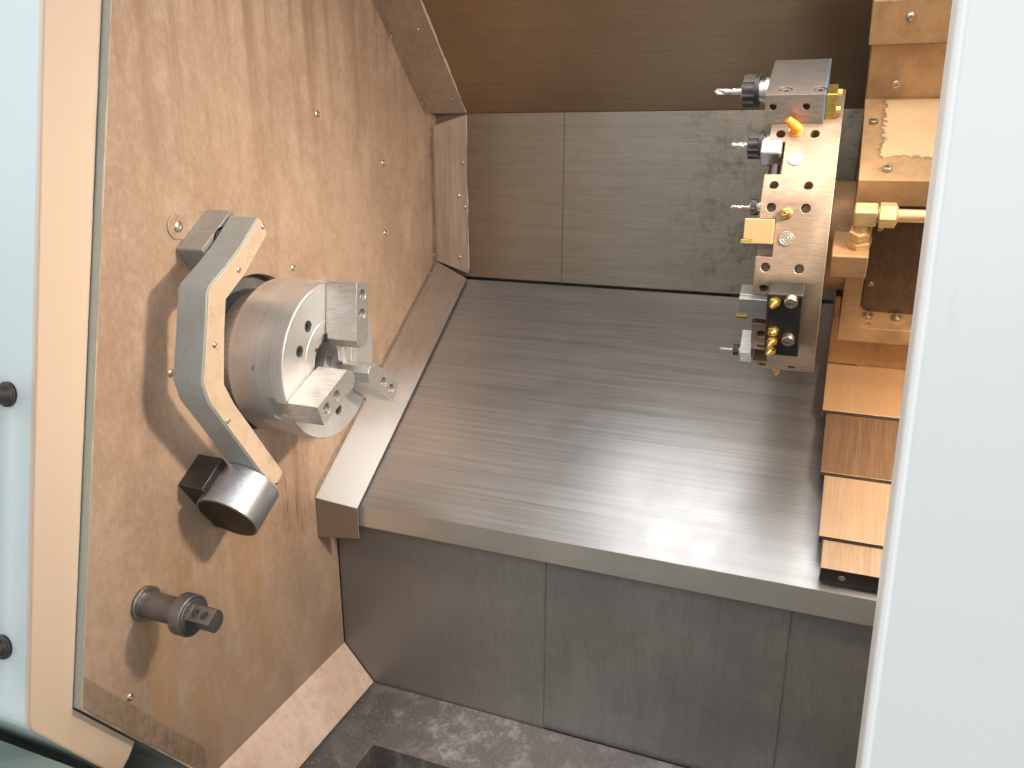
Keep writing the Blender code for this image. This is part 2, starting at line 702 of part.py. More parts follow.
def trims():
    """Deflector strips: raised at the wall, low at the panels."""
    wall = WALL_FACE + FIT
    edge = WALL_FACE + TRIM_WIDTH
    nose_z = -COVER_FRONT_DROP - COVER_LIP - TRIM_NOSE_DROP
    raised = WALL_ROOM + TRIM_RAISE
    far_y = COVER_BACK_Y - WALL_ROOM - TRIM_SHEET
    a = (wall, TRIM_FRONT_Y, cover_top(TRIM_FRONT_Y, raised))
    b = (edge, TRIM_NOSE_Y, cover_top(TRIM_NOSE_Y, WALL_ROOM))
    c = (edge, far_y, cover_top(far_y, WALL_ROOM))
    d = (wall, far_y, cover_top(far_y, raised))
    e = (wall, TRIM_FRONT_Y, nose_z)
    f = (edge, TRIM_NOSE_Y, nose_z)
    folded_trim("trim_bed", [(a, b, c, d), (e, f, b, a)], "cream_paint")
    panel_y = BACK_PANEL_Y - FIT - TRIM_SHEET
    lifted_y = panel_y - TRIM_BACK_RAISE
    foot_wall = cover_top(lifted_y + TRIM_SHEET, raised) + 2 * TRIM_SHEET
    foot_edge = cover_top(panel_y, WALL_ROOM) + 2 * TRIM_SHEET
    top = BACK_PANEL_TOP - TRIM_SHEET
    outline = [Vector((wall, lifted_y, foot_wall)), Vector((edge, panel_y, foot_edge)), Vector((edge, panel_y, top)),
               Vector((wall, lifted_y, top - TRIM_TOP_SLANT))]
    add_object("trim_back", prism(outline, Vector((0, TRIM_SHEET, 0))), "cream_paint")
    base_z = BACK_PANEL_TOP + FIT
    high_z = TOP_REACH - ROOF_THICKNESS - FIT
    run = Vector((0, upper_y(high_z) - upper_y(base_z), high_z - base_z))
    lean = TRIM_SHEET * hypot(1, UPPER_LEAN)
    back_y = upper_y(base_z) - FIT * hypot(1, UPPER_LEAN)
    outline = [Vector((wall, back_y - lean - TRIM_RAISE, base_z)), Vector((edge, back_y - lean, base_z)),
               Vector((edge, back_y, base_z)), Vector((wall, back_y, base_z))]
    add_object("trim_upper", prism(outline, run), "cream_paint")
    low_z = BASE_TOP + PAN_RIM_HEIGHT + FIT
    y0, y1 = WALL_FOOT_Y + PAN_GAP, SKIRT_Y - PAN_GAP
    outline = [Vector((wall, y0, -PAN_TRIM_DROP)), Vector((WALL_FACE + PAN_TRIM_REACH, y0, low_z)),
               Vector((WALL_FACE + PAN_TRIM_REACH - 2 * TRIM_SHEET, y0, low_z)),
               Vector((wall, y0, -PAN_TRIM_DROP - 2 * TRIM_SHEET))]
    add_object("trim_pan", prism(outline, Vector((0, y1 - y0, 0))), "cream_paint")


def headstock():
    """Barrel on a pedestal, clear of the sheet that slides past behind it."""
    turns = [pi * i / (SIDES / 2) for i in range(int(SIDES / 2) + 1)]
    arch = [(HEADSTOCK_RADIUS * cos(t), HEADSTOCK_RADIUS * sin(t)) for t in turns]
    outline = [(HEADSTOCK_RADIUS, BASE_TOP + FIT)] + arch + [(-HEADSTOCK_RADIUS, BASE_TOP + FIT)]
    block = add_object("headstock", side_prism(outline, HEADSTOCK_BACK, HEADSTOCK_FRONT), "cast_iron")
    length = HEADSTOCK_FRONT - HEADSTOCK_BACK
    cut(block, cylinder(Vector((HEADSTOCK_BACK, 0, 0)), AXIS_X, SPINDLE_RADIUS + FIT, -OVERRUN,
                        length + OVERRUN), "bore")


def spindle_motor():
    """Built-in motor shell with cooling fins round the rear of the spindle."""
    start = HEADSTOCK_BACK - FIT
    step = (start - MOTOR_BACK) / (2 * MOTOR_FINS + 1)
    profile = [(start, SPINDLE_REAR_RADIUS + FIT), (start, MOTOR_RADIUS)]
    for fin in range(MOTOR_FINS):
        near = start - (2 * fin + 1) * step
        profile += [(near, MOTOR_RADIUS), (near, MOTOR_RADIUS - MOTOR_FIN_DEPTH),
                    (near - step, MOTOR_RADIUS - MOTOR_FIN_DEPTH), (near - step, MOTOR_RADIUS)]
    profile += [(MOTOR_BACK, MOTOR_RADIUS), (MOTOR_BACK, SPINDLE_REAR_RADIUS + FIT)]
    add_object("spindle_motor", turned(profile, Vector(), AXIS_X), "grey_paint", smooth=True)


def spindle():
    """Hollow shaft: nose flange in the wall hole, bearing seat, rear seat."""
    nose = -CHUCK_LENGTH - FIT
    shoulder = HEADSTOCK_BACK + FIT
    profile = [(nose, SPINDLE_BORE), (nose, NOSE_RADIUS), (nose - NOSE_LENGTH, NOSE_RADIUS),
               (nose - NOSE_LENGTH, SPINDLE_RADIUS), (shoulder, SPINDLE_RADIUS),
               (shoulder, SPINDLE_REAR_RADIUS), (MOTOR_BACK - FIT, SPINDLE_REAR_RADIUS),
               (MOTOR_BACK - FIT, SPINDLE_BORE)]
    add_object("spindle", turned(profile, Vector(), AXIS_X), "machined_steel", smooth=True)
    start = MOTOR_BACK - 2 * FIT
    mid = start - CYLINDER_FLANGE
    profile = [(start, SPINDLE_BORE), (start, SPINDLE_REAR_RADIUS), (mid, SPINDLE_REAR_RADIUS),
               (mid, CYLINDER_RADIUS), (CYLINDER_BACK, CYLINDER_RADIUS), (CYLINDER_BACK, SPINDLE_BORE)]
    add_object("chuck_cylinder", turned(profile, Vector(), AXIS_X), "machined_steel", smooth=True)


def radial_frame(turn):
    """Axes of a radial piece of the chuck: along the spindle, outward, sideways."""
    out = Vector((0, cos(turn), sin(turn)))
    return AXIS_X, out, AXIS_X.cross(out)


def jaw_turns():
    return [CHUCK_TURN + 2 * pi * i / 3 for i in range(3)]


def t_bar(turn, inner, outer, top, room):
    """Bar of T section along a slot of the chuck, smaller than the slot by the room given."""
    along, out, side = radial_frame(turn)
    stem = SLOT_WIDTH / 2 - room
    foot = SLOT_FOOT_WIDTH / 2 - room
    neck = -SLOT_DEPTH - room
    deep = -SLOT_DEPTH - SLOT_FOOT_DEPTH + room
    section = [(top, stem), (neck, stem), (neck, foot), (deep, foot),
               (deep, -foot), (neck, -foot), (neck, -stem), (top, -stem)]
    return prism([along * x + side * t + out * inner for x, t in section], out * (outer - inner))


def chuck():
    profile = [(-CHUCK_LENGTH, CHUCK_BORE), (-CHUCK_LENGTH, CHUCK_RADIUS - CHUCK_CHAMFER),
               (-CHUCK_LENGTH + CHUCK_CHAMFER, CHUCK_RADIUS), (-CHUCK_CHAMFER, CHUCK_RADIUS),
               (0, CHUCK_RADIUS - CHUCK_CHAMFER), (0, CHUCK_RECESS_RADIUS),
               (-CHUCK_RECESS_DEPTH, CHUCK_RECESS_RADIUS - CHUCK_RECESS_DEPTH),
               (-CHUCK_RECESS_DEPTH, CHUCK_BORE)]
    body = add_object("chuck_body", turned(profile, Vector(), AXIS_X, SIDES), "machined_steel", smooth=True)
    for number, turn in enumerate(jaw_turns()):
        cut(body, t_bar(turn, 0, CHUCK_RADIUS + OVERRUN, OVERRUN, 0), f"slot_{number + 1}")
    holes = []
    for turn in jaw_turns():
        for side in (-1, 1):
            angle = turn + pi / 3 + side * FACE_SCREW_SPREAD
            centre = Vector((0, cos(angle), sin(angle))) * FACE_SCREW_CIRCLE
            holes.append(cylinder(centre, AXIS_X, FACE_SCREW_RADIUS, -FACE_SCREW_DEPTH, OVERRUN, SMALL_SIDES))
    cut(body, joined(*holes), "screw_holes")


def jaws():
    """Top jaw and its base jaw, which slides in the T-slot of the body."""
    for number, turn in enumerate(jaw_turns()):
        axes = radial_frame(turn)
        outer = JAW_INNER + JAW_LENGTH
        half = JAW_WIDTH / 2
        top = framed_box((JAW_STAND, JAW_INNER, -half), (JAW_HEIGHT, outer, half), axes)
        nose = JAW_WIDTH / 3
        bevel_mesh(top, nose, lambda edge: edge_near(edge, axes, JAW_INNER), segments=1)
        jaw = add_object(f"jaw_{number + 1}", top, "machined_steel")
        rim = CHUCK_RADIUS - JAW_STROKE - 2 * FIT
        fuse(jaw, t_bar(turn, CHUCK_RECESS_RADIUS, rim, JAW_STAND + OVERRUN, FIT), "base_jaw")
        holes = []
        for step in range(2):
            centre = axes[1] * (outer - JAW_SCREW_INSET - step * JAW_SCREW_PITCH) + AXIS_X * JAW_HEIGHT
            holes.append(cylinder(centre, AXIS_X, JAW_SCREW_RADIUS, -JAW_SCREW_DEPTH, OVERRUN, SMALL_SIDES))
        cut(jaw, joined(*holes), "screw_holes")


def edge_near(edge, axes, inner):
    """Edges at the gripping end of a jaw that run along the spindle."""
    middle = (edge.verts[0].co + edge.verts[1].co) / 2
    along = abs((edge.verts[1].co - edge.verts[0].co).normalized().dot(axes[0])) > cos(radians(2))
    return along and abs(middle.dot(axes[1]) - inner) < FIT


def saddle():
    body = add_object("saddle", slope_box(SADDLE_LEFT, SADDLE_RIGHT, SADDLE_LOW, SADDLE_HIGH,
                                          BED_PLANE + WAY_HEIGHT + FIT, SADDLE_TOP), "cast_iron")
    runners = []
    for x in (SADDLE_LEFT + RUNNER_INSET, SADDLE_RIGHT - RUNNER_INSET - RUNNER_WIDTH):
        runners.append(slope_box(x, x + RUNNER_WIDTH, SADDLE_LOW, SADDLE_HIGH, SADDLE_TOP - OVERRUN,
                                 SADDLE_TOP + RUNNER_HEIGHT))
    fuse(body, joined(*runners), "runners")


def cross_slide():
    body = add_object("cross_slide", slope_box(SLIDE_LEFT, SLIDE_RIGHT, SLIDE_LOW, SLIDE_HIGH, SLIDE_STEP,
                                               SLIDE_TOP), "tan_cast")
    shoe = slope_box(SADDLE_LEFT + RUNNER_INSET, SADDLE_RIGHT - RUNNER_INSET, SLIDE_LOW, SADDLE_HIGH,
                     SADDLE_TOP + RUNNER_HEIGHT + FIT, SLIDE_STEP + OVERRUN)
    fuse(body, shoe, "shoe")


def shingle(number, low, high):
    """One way cover: an inverted trough whose low end has a wiper frame over the next cover."""
    inset = (number - 1) * SHINGLE_STEP
    x0, x1 = SLIDE_LEFT + inset, SLIDE_RIGHT - inset
    top = SHINGLE_TOP - inset
    foot = top - SHINGLE_FLANGE
    if number == 4:
        foot = top - END_FACE_HEIGHT
    wall = SHINGLE_SHEET
    cover = add_object(f"way_cover_{number}", slope_box(x0, x1, low, high, foot, top), "brushed_sheet")
    cut(cover, slope_box(x0 + wall, x1 - wall, low + wall, high + OVERRUN, foot - OVERRUN, top - wall), "inside")
    if number == 4:
        cut(cover, slope_box(x0 - OVERRUN, x1 + OVERRUN, SADDLE_LOW - OVERRUN, high + OVERRUN, foot - OVERRUN,
                             SADDLE_TOP + FIT), "seat")
    else:
        room = SHINGLE_STEP - FIT
        cut(cover, slope_box(x0 + room, x1 - room, low - OVERRUN, low + OVERRUN, foot - OVERRUN, top - room),
            "mouth")
    return cover


def way_covers():
    shingle(1, SHINGLE_1_LOW, SLIDE_LOW - FIT)
    shingle(2, SHINGLE_2_LOW, SHINGLE_1_LOW + SHINGLE_LAP)
    shingle(3, SHINGLE_3_LOW, SHINGLE_2_LOW + SHINGLE_LAP)
    shingle(4, SHINGLE_4_LOW, SHINGLE_3_LOW + SHINGLE_LAP)


def turret_housing():
    """Cast box with a neck to the disc, a foot flange and a rounded recess in front."""
    foot = SLIDE_TOP + FIT
    floor = foot + FLANGE_THICKNESS
    box = slope_box(HOUSING_LEFT, HOUSING_RIGHT, HOUSING_LOW, HOUSING_HIGH, foot, HOUSING_TOP)
    body = add_object("turret_housing", box, "tan_cast")
    fuse(body, slope_box(HOUSING_LEFT, HOUSING_RIGHT, HOUSING_HIGH - OVERRUN, FLANGE_HIGH, foot, floor), "flange")
    fuse(body, cylinder(TURRET_CENTRE, AXIS_X, NECK_RADIUS, DISC_RIGHT + FIT, HOUSING_LEFT + OVERRUN, SIDES),
         "neck")
    recess = slope_box(HOUSING_LEFT + RECESS_LEFT_WALL, HOUSING_RIGHT - RECESS_RIGHT_WALL,
                       HOUSING_LOW - OVERRUN, HOUSING_LOW + RECESS_DEPTH, floor, HOUSING_TOP - RECESS_TOP_WALL)
    bevel_mesh(recess, RECESS_CORNER, runs_along(UP))
    cut(body, recess, "recess")


def motor_cover():
    low = HOUSING_TOP + FIT
    box = slope_box(HOUSING_LEFT, HOUSING_RIGHT, MOTOR_COVER_LOW, MOTOR_COVER_HIGH, low,
                    low + MOTOR_COVER_HEIGHT)
    cover = add_object("turret_motor_cover", box, "tan_cast")
    top = low + MOTOR_COVER_HEIGHT
    side = MOTOR_COVER_LIP / 2
    fuse(cover, slope_box(HOUSING_LEFT - side, HOUSING_RIGHT + side, MOTOR_COVER_LOW - MOTOR_COVER_LIP,
                          MOTOR_COVER_HIGH + side, top - MOTOR_LIP_HEIGHT, top + side), "lip")


def coolant_block():
    """Coolant block on the housing's left rib, with its elbow and the pipe to the right."""
    high = HOUSING_LOW - FIT
    low = high - COOLANT_DEPTH
    block = add_object("coolant_block", slope_box(COOLANT_LEFT, COOLANT_RIGHT, low, high, COOLANT_LOW,
                                                  COOLANT_HIGH), "tan_cast")
    foot = slope_point(COOLANT_RISER, (low + high) / 2, COOLANT_HIGH)
    top = foot + OFF * PIPE_RISE
    fuse(block, cylinder(foot, OFF, NUT_RADIUS, -OVERRUN, PIPE_RISE / 2, NUT_SIDES), "hex")
    fuse(block, cylinder(foot, OFF, ELBOW_RADIUS, -OVERRUN / 2, PIPE_RISE + ELBOW_RADIUS, SMALL_SIDES), "riser")
    fuse(block, cylinder(top, AXIS_X, PIPE_RADIUS, 0, PIPE_REACH, SMALL_SIDES), "pipe")
    fuse(block, cylinder(top, AXIS_X, NUT_RADIUS, 2 * PIPE_RADIUS, 4 * PIPE_RADIUS, NUT_SIDES), "nut")
    bend = top + AXIS_X * (PIPE_REACH - PIPE_RADIUS)
    fuse(block, cylinder(bend, UP, ELBOW_RADIUS, -ELBOW_RADIUS, high - top.dot(UP), SMALL_SIDES), "return")


def facet_axes(turn):
    """Axes at a facet: along the spindle, outward, along the facet."""
    out = Vector((0, cos(turn), sin(turn)))
    return AXIS_X, out, AXIS_X.cross(out)


def facet_turn(number):
    """Angle of facet 1 to 12; facet 3 looks at the operator."""
    station = pi + SLOPE + DISC_PHASE
    return station + (number - 4) * 2 * pi / DISC_SIDES


def facet_box(number, x0, x1, r0, r1, t0, t1):
    return framed_box((x0, r0, t0), (x1, r1, t1), facet_axes(facet_turn(number)), TURRET_CENTRE)


def facet_cylinder(number, x, t, radius, r0, r1, sides=SMALL_SIDES):
    axes = facet_axes(facet_turn(number))
    foot = TURRET_CENTRE + AXIS_X * x + axes[2] * t
    return cylinder(foot, axes[1], radius, r0, r1, sides)


def bolt_places():
    """The four screw places of a facet, as (x, along the facet)."""
    return [(HOLE_MIDDLE + i * HOLE_SPACING_X / 2, j * HOLE_SPACING_T / 2) for i in (-1, 1) for j in (-1, 1)]


POCKETS = {2: (-0.028, 0.024), 3: (-0.026, 0.026), 4: (-0.030, 0.022), 5: (-0.026, 0.026)}


def turret_disc():
    turns = [facet_turn(i) + pi / DISC_SIDES for i in range(DISC_SIDES)]
    outline = [(TURRET_CENTRE.y + DISC_RADIUS * cos(t), TURRET_CENTRE.z + DISC_RADIUS * sin(t)) for t in turns]
    disc = add_object("turret_disc", side_prism(outline, DISC_LEFT, DISC_RIGHT), "machined_steel")
    holes = []
    for number in range(1, DISC_SIDES + 1):
        for x, t in bolt_places():
            holes.append(facet_cylinder(number, x, t, HOLE_RADIUS, DISC_APOTHEM - HOLE_DEPTH,
                                        DISC_APOTHEM + OVERRUN, 8))
    cut(disc, joined(*holes), "holes")
    pockets = []
    for number, (low, high) in POCKETS.items():
        pockets.append(facet_box(number, DISC_LEFT - OVERRUN, DISC_LEFT + POCKET_WIDTH,
                                 DISC_APOTHEM - POCKET_DEPTH, DISC_APOTHEM + OVERRUN, low, high))
    cut(disc, joined(*pockets), "pockets")


def turning_tool(name, number):
    """Square shank in a pocket of the disc, with its insert at the outer corner."""
    left = DISC_LEFT - SHANK_OVERHANG
    right = DISC_LEFT + POCKET_WIDTH - FIT
    low = DISC_APOTHEM - POCKET_DEPTH + FIT
    high = DISC_APOTHEM + SHANK_PROUD
    near = POCKETS[number][0] + FIT
    far = near + SHANK_HEIGHT
    shank = facet_box(number, left, right, low, high, near, far)
    tool = add_object(name, shank, "machined_steel")
    bevel(tool, SHEET / 2)
    tip = facet_box(number, left - INSERT_THICKNESS, left + INSERT_SIZE, high - INSERT_SIZE,
                    high + INSERT_THICKNESS, far - INSERT_THICKNESS, far + INSERT_THICKNESS)
    fuse(tool, tip, "insert")


def drill_holder():
    """Block bolted to the top facet; its collet nut and drill point along the spindle."""
    low = DISC_APOTHEM + FIT
    high = low + HOLDER_HEIGHT
    left = DISC_LEFT - HOLDER_OVERHANG
    block = add_object("drill_holder", facet_box(1, left, left + HOLDER_WIDTH, low, high, -HOLDER_BACK, HOLDER_FRONT),
                       "black_oxide")
    for x, t in bolt_places():
        if t > 0:
            fuse(block, facet_cylinder(1, x, t, CAP_RADIUS, high - OVERRUN, high + CAP_HEIGHT / 3), "cap")


def along_disc(number, r, t):
    """A point level with the disc's left face at a facet."""
    axes = facet_axes(facet_turn(number))
    return TURRET_CENTRE + AXIS_X * DISC_LEFT + axes[1] * r + axes[2] * t


def collet_drill(name, place, sizes, finish):
    """Collet nut on a neck with a drill, pointing at the chuck."""
    nut_radius, nut_length, neck, drill_radius, drill_length = sizes
    back = neck + nut_length
    end = back + drill_length
    point = drill_radius * 2
    profile = [(FIT, 0), (FIT, nut_radius * 0.72), (neck, nut_radius * 0.72), (neck, nut_radius),
               (back - nut_length / 5, nut_radius), (back, nut_radius * 0.8), (back, drill_radius),
               (end - point, drill_radius), (end, 0)]
    return add_object(name, turned(profile, place, -AXIS_X, SMALL_SIDES + 4), finish, smooth=True)


def low_block():
    """Dark block bolted to facet 4, beside the turning tool."""
    low = DISC_APOTHEM + FIT
    high = low + LOW_BLOCK_HEIGHT
    half = LOW_BLOCK_LENGTH / 2
    right = LOW_BLOCK_LEFT + LOW_BLOCK_WIDTH
    left = DISC_LEFT + POCKET_WIDTH + FIT
    block = add_object("tool_block", facet_box(4, left, right, low, high, -half, half), "black_oxide")
    for t in LOW_CAPS:
        fuse(block, facet_cylinder(4, right - 2 * CAP_RADIUS, t, CAP_RADIUS, high - OVERRUN, high + CAP_HEIGHT),
             "cap")


def drill_block():
    """Square block on the disc's left face at facet 5, with a small drill in it."""
    half = DRILL_BLOCK_SIZE / 2
    left = DISC_LEFT - DRILL_BLOCK_WIDTH
    box = facet_box(5, left, DISC_LEFT - FIT, DISC_APOTHEM - DRILL_BLOCK_SIZE + SHANK_PROUD / 2,
                    DISC_APOTHEM + SHANK_PROUD / 2, -half, half)
    block = add_object("drill_block", box, "machined_steel")
    place = along_disc(5, DISC_APOTHEM - SHANK_PROUD / 2, 0) - AXIS_X * (DRILL_BLOCK_WIDTH - OVERRUN / 2)
    drill = collet_drill("drill_block_drill", place, BLOCK_COLLET, "machined_steel")
    drill.hide_render = True
    drill.display_type = "WIRE"
    join = block.modifiers.new("drill", "BOOLEAN")
    join.operation = "UNION"
    join.object = drill


def turret_tools():
    drill_holder()
    collet_drill("collet_chuck_large", along_disc(1, DISC_APOTHEM + COLLET_RISE, 0) - AXIS_X * HOLDER_OVERHANG,
                 LARGE_COLLET, "machined_steel")
    collet_drill("collet_chuck_small", along_disc(2, DISC_APOTHEM - 1.4 * COLLET_BORE_IN, -1.4 * COLLET_RISE),
                 SMALL_COLLET, "black_oxide")
    collet_drill("small_drill_upper", along_disc(3, DISC_APOTHEM - COLLET_BORE_IN, -1.7 * COLLET_RISE),
                 FINE_COLLET, "machined_steel")
    turning_tool("turning_tool_upper", 3)
    turning_tool("turning_tool_lower", 4)
    low_block()
    drill_block()


ARM_OUTER = [(-0.0937, 0.2346), (-0.0992, 0.2310), (-0.140, 0.196), (-0.172, 0.174), (-0.207, 0.153),
             (-0.2135, 0.144), (-0.224, 0.095), (-0.242, 0.024), (-0.234, -0.007), (-0.1202, -0.182),
             (-0.1125, -0.1905)]
ARM_INNER = [(-0.090, -0.166), (-0.092, -0.161), (-0.183, -0.022), (-0.199, 0.0115), (-0.187, 0.0865),
             (-0.178, 0.128), (-0.134, 0.157), (-0.0816, 0.204), (-0.0774, 0.210), (-0.084, 0.225)]


def setter_arm():
    arm = add_object("setter_arm", side_prism(ARM_OUTER + ARM_INNER, ARM_BACK, ARM_FRONT), "grey_paint")
    bevel(arm, SHEET / 2, radians(60))
    place = probe_place()
    fuse(arm, cylinder(place, -AXIS_X, PROBE_RADIUS, -OVERRUN, PROBE_LENGTH, SMALL_SIDES + 4), "probe")
    move_origin(arm, ARM_PIVOT)


def probe_place():
    """Where the probe leaves the back of the arm's upper end."""
    return Vector((ARM_BACK, (ARM_OUTER[2][0] + ARM_INNER[7][0]) / 2, (ARM_OUTER[2][1] + ARM_INNER[7][1]) / 2))


def setter_drum():
    profile = [(-DRUM_BELOW, 0), (-DRUM_BELOW, DRUM_RADIUS - DRUM_BEVEL),
               (-DRUM_BELOW + DRUM_BEVEL, DRUM_RADIUS), (DRUM_ABOVE, DRUM_RADIUS), (DRUM_ABOVE, 0)]
    add_object("setter_drum", turned(profile, ARM_PIVOT, ARM_AXIS, SIDES), "machined_steel", smooth=True)
    axes = (AXIS_X, ARM_AXIS, ARM_DOWN)
    low = -BRACKET_ARM
    bracket = add_object("setter_bracket", framed_box(
        (WALL_FACE + FIT - DRUM_X, -DRUM_BELOW + OVERRUN, low),
        (WALL_FACE + BRACKET_REACH - DRUM_X, -DRUM_BELOW + OVERRUN + BRACKET_LENGTH, BRACKET_ARM), axes, ARM_PIVOT),
        "black_oxide")
    cut(bracket, cylinder(ARM_PIVOT, ARM_AXIS, DRUM_RADIUS + FIT, -DRUM_BELOW - OVERRUN,
                          DRUM_ABOVE + BRACKET_LENGTH, SIDES), "cradle")


def probe_park():
    """Cover on the wall that the parked probe sits in."""
    place = probe_place()
    along = Vector((0, ARM_OUTER[0][0] - ARM_OUTER[4][0], ARM_OUTER[0][1] - ARM_OUTER[4][1])).normalized()
    across = AXIS_X.cross(along)
    centre = Vector((WALL_FACE + FIT, place.y, place.z))
    middle = centre + Vector((0, PARK_SHIFT_Y, -PARK_SHIFT_Z))
    half = PARK_LENGTH / 2
    wide = PARK_WIDTH / 2
    box = framed_box((0, -half, -wide), (PARK_HEIGHT, half, wide), (AXIS_X, along, across), middle)
    bevel_mesh(box, SHEET, runs_along(AXIS_X), segments=2)
    park = add_object("probe_park", box, "grey_paint")
    cut(park, cylinder(centre, AXIS_X, PROBE_RADIUS + PARK_ROOM, PARK_HEIGHT - PROBE_LENGTH - PARK_ROOM,
                       PARK_HEIGHT + OVERRUN, SMALL_SIDES + 4), "pocket")


def wall_stub():
    """Black flanged shaft on the wall below the tool setter."""
    foot = Vector((WALL_FACE + FIT, STUB_Y, -STUB_DROP))
    flange = STUB_BODY_RADIUS / 4
    collar = 3.6 * STUB_BODY_RADIUS
    profile = [(0, 0), (0, STUB_FLANGE_RADIUS), (flange, STUB_FLANGE_RADIUS), (flange, STUB_BODY_RADIUS),
               (collar, STUB_BODY_RADIUS), (collar, STUB_COLLAR_RADIUS),
               (collar + STUB_BODY_RADIUS, STUB_COLLAR_RADIUS), (collar + STUB_BODY_RADIUS, STUB_END_RADIUS),
               (collar + 3 * STUB_BODY_RADIUS, STUB_END_RADIUS), (collar + 3 * STUB_BODY_RADIUS, 0)]
    add_object("wall_stub", turned(profile, foot, AXIS_X, 24), "black_oxide", smooth=True)


def door_outline():
    """Section of the door: leaning panel with a rounded foot that returns under the chamber."""
    corner = (door_front(-DOOR_CORNER_DROP), -DOOR_CORNER_DROP)
    run = Vector((0, cos(APRON_ANGLE), -sin(APRON_ANGLE))) * DOOR_RETURN
    inward = Vector((0, sin(APRON_ANGLE), cos(APRON_ANGLE))) * DOOR_RETURN_THICKNESS
    foot = (corner[0] + run.y, corner[1] + run.z)
    foot_in = (foot[0] + inward.y, foot[1] + inward.z)
    start = (corner[0] + inward.y, corner[1] + inward.z)
    lean = cos(APRON_ANGLE) + DOOR_LEAN * sin(APRON_ANGLE)
    meet = (door_front(start[1]) + DOOR_THICKNESS - start[0]) / lean
    inner = (start[0] + meet * cos(APRON_ANGLE), start[1] - meet * sin(APRON_ANGLE))
    return [(door_front(DOOR_TOP), DOOR_TOP), corner, foot, foot_in, inner,
            (door_front(DOOR_TOP) + DOOR_THICKNESS, DOOR_TOP)]


def leaning_box(x0, x1, z0, z1, out0, out1):
    """Box in the leaning front plane: between two heights, out0 to out1 in front of the face."""
    foot = Vector((0, door_front(0), 0))
    up0, up1 = z0 * hypot(1, DOOR_LEAN), z1 * hypot(1, DOOR_LEAN)
    return framed_box((x0, up0, out0), (x1, up1, out1), (AXIS_X, FACE_UP, FACE_NORMAL), foot)


def door():
    bm = side_prism(door_outline(), DOOR_LEFT, DOOR_END)
    corner_z = -DOOR_CORNER_DROP

    def outer_corner(edge):
        low = all(abs(vert.co.z - corner_z) < FIT for vert in edge.verts)
        return low and runs_along(AXIS_X)(edge)
    bevel_mesh(bm, DOOR_BEVEL, outer_corner)
    panel = add_object("door_panel", bm, "white_paint")
    hole = leaning_box(WINDOW_LEFT, WINDOW_RIGHT, WINDOW_LOW, WINDOW_HIGH, -DOOR_THICKNESS - OVERRUN, OVERRUN)
    bevel_mesh(hole, WINDOW_CORNER, runs_along(FACE_NORMAL))
    cut(panel, hole, "window")
    deep = DOOR_THICKNESS / 2
    pane = leaning_box(WINDOW_LEFT + GLASS_ROOM, WINDOW_RIGHT - GLASS_ROOM, WINDOW_LOW + GLASS_ROOM,
                       WINDOW_HIGH - GLASS_ROOM, -deep - GLASS_THICKNESS, -deep)
    bevel_mesh(pane, WINDOW_CORNER, runs_along(FACE_NORMAL))
    add_object("door_window", pane, "glass")


def door_handle():
    """Upright tube held off the door by two collars."""
    ends = []
    for z in (HANDLE_LOW, HANDLE_HIGH):
        ends.append(Vector((HANDLE_X, door_front(z), z)))
    length = (ends[1] - ends[0]).length
    axis = FACE_UP
    start = ends[0] + FACE_NORMAL * HANDLE_STAND
    tube = add_object("door_handle", cylinder(start, axis, HANDLE_RADIUS, 0, length, SMALL_SIDES),
                      "machined_steel", smooth=True)
    inset = 1.5 * COLLAR_LENGTH
    for along in (inset, length - inset):
        foot = ends[0] + axis * along
        fuse(tube, cylinder(foot, FACE_NORMAL, COLLAR_RADIUS * 0.8, FIT, HANDLE_STAND, SMALL_SIDES), "post")
        fuse(tube, cylinder(start + axis * along, axis, COLLAR_RADIUS, -COLLAR_LENGTH / 2, COLLAR_LENGTH / 2,
                            SMALL_SIDES), "collar")


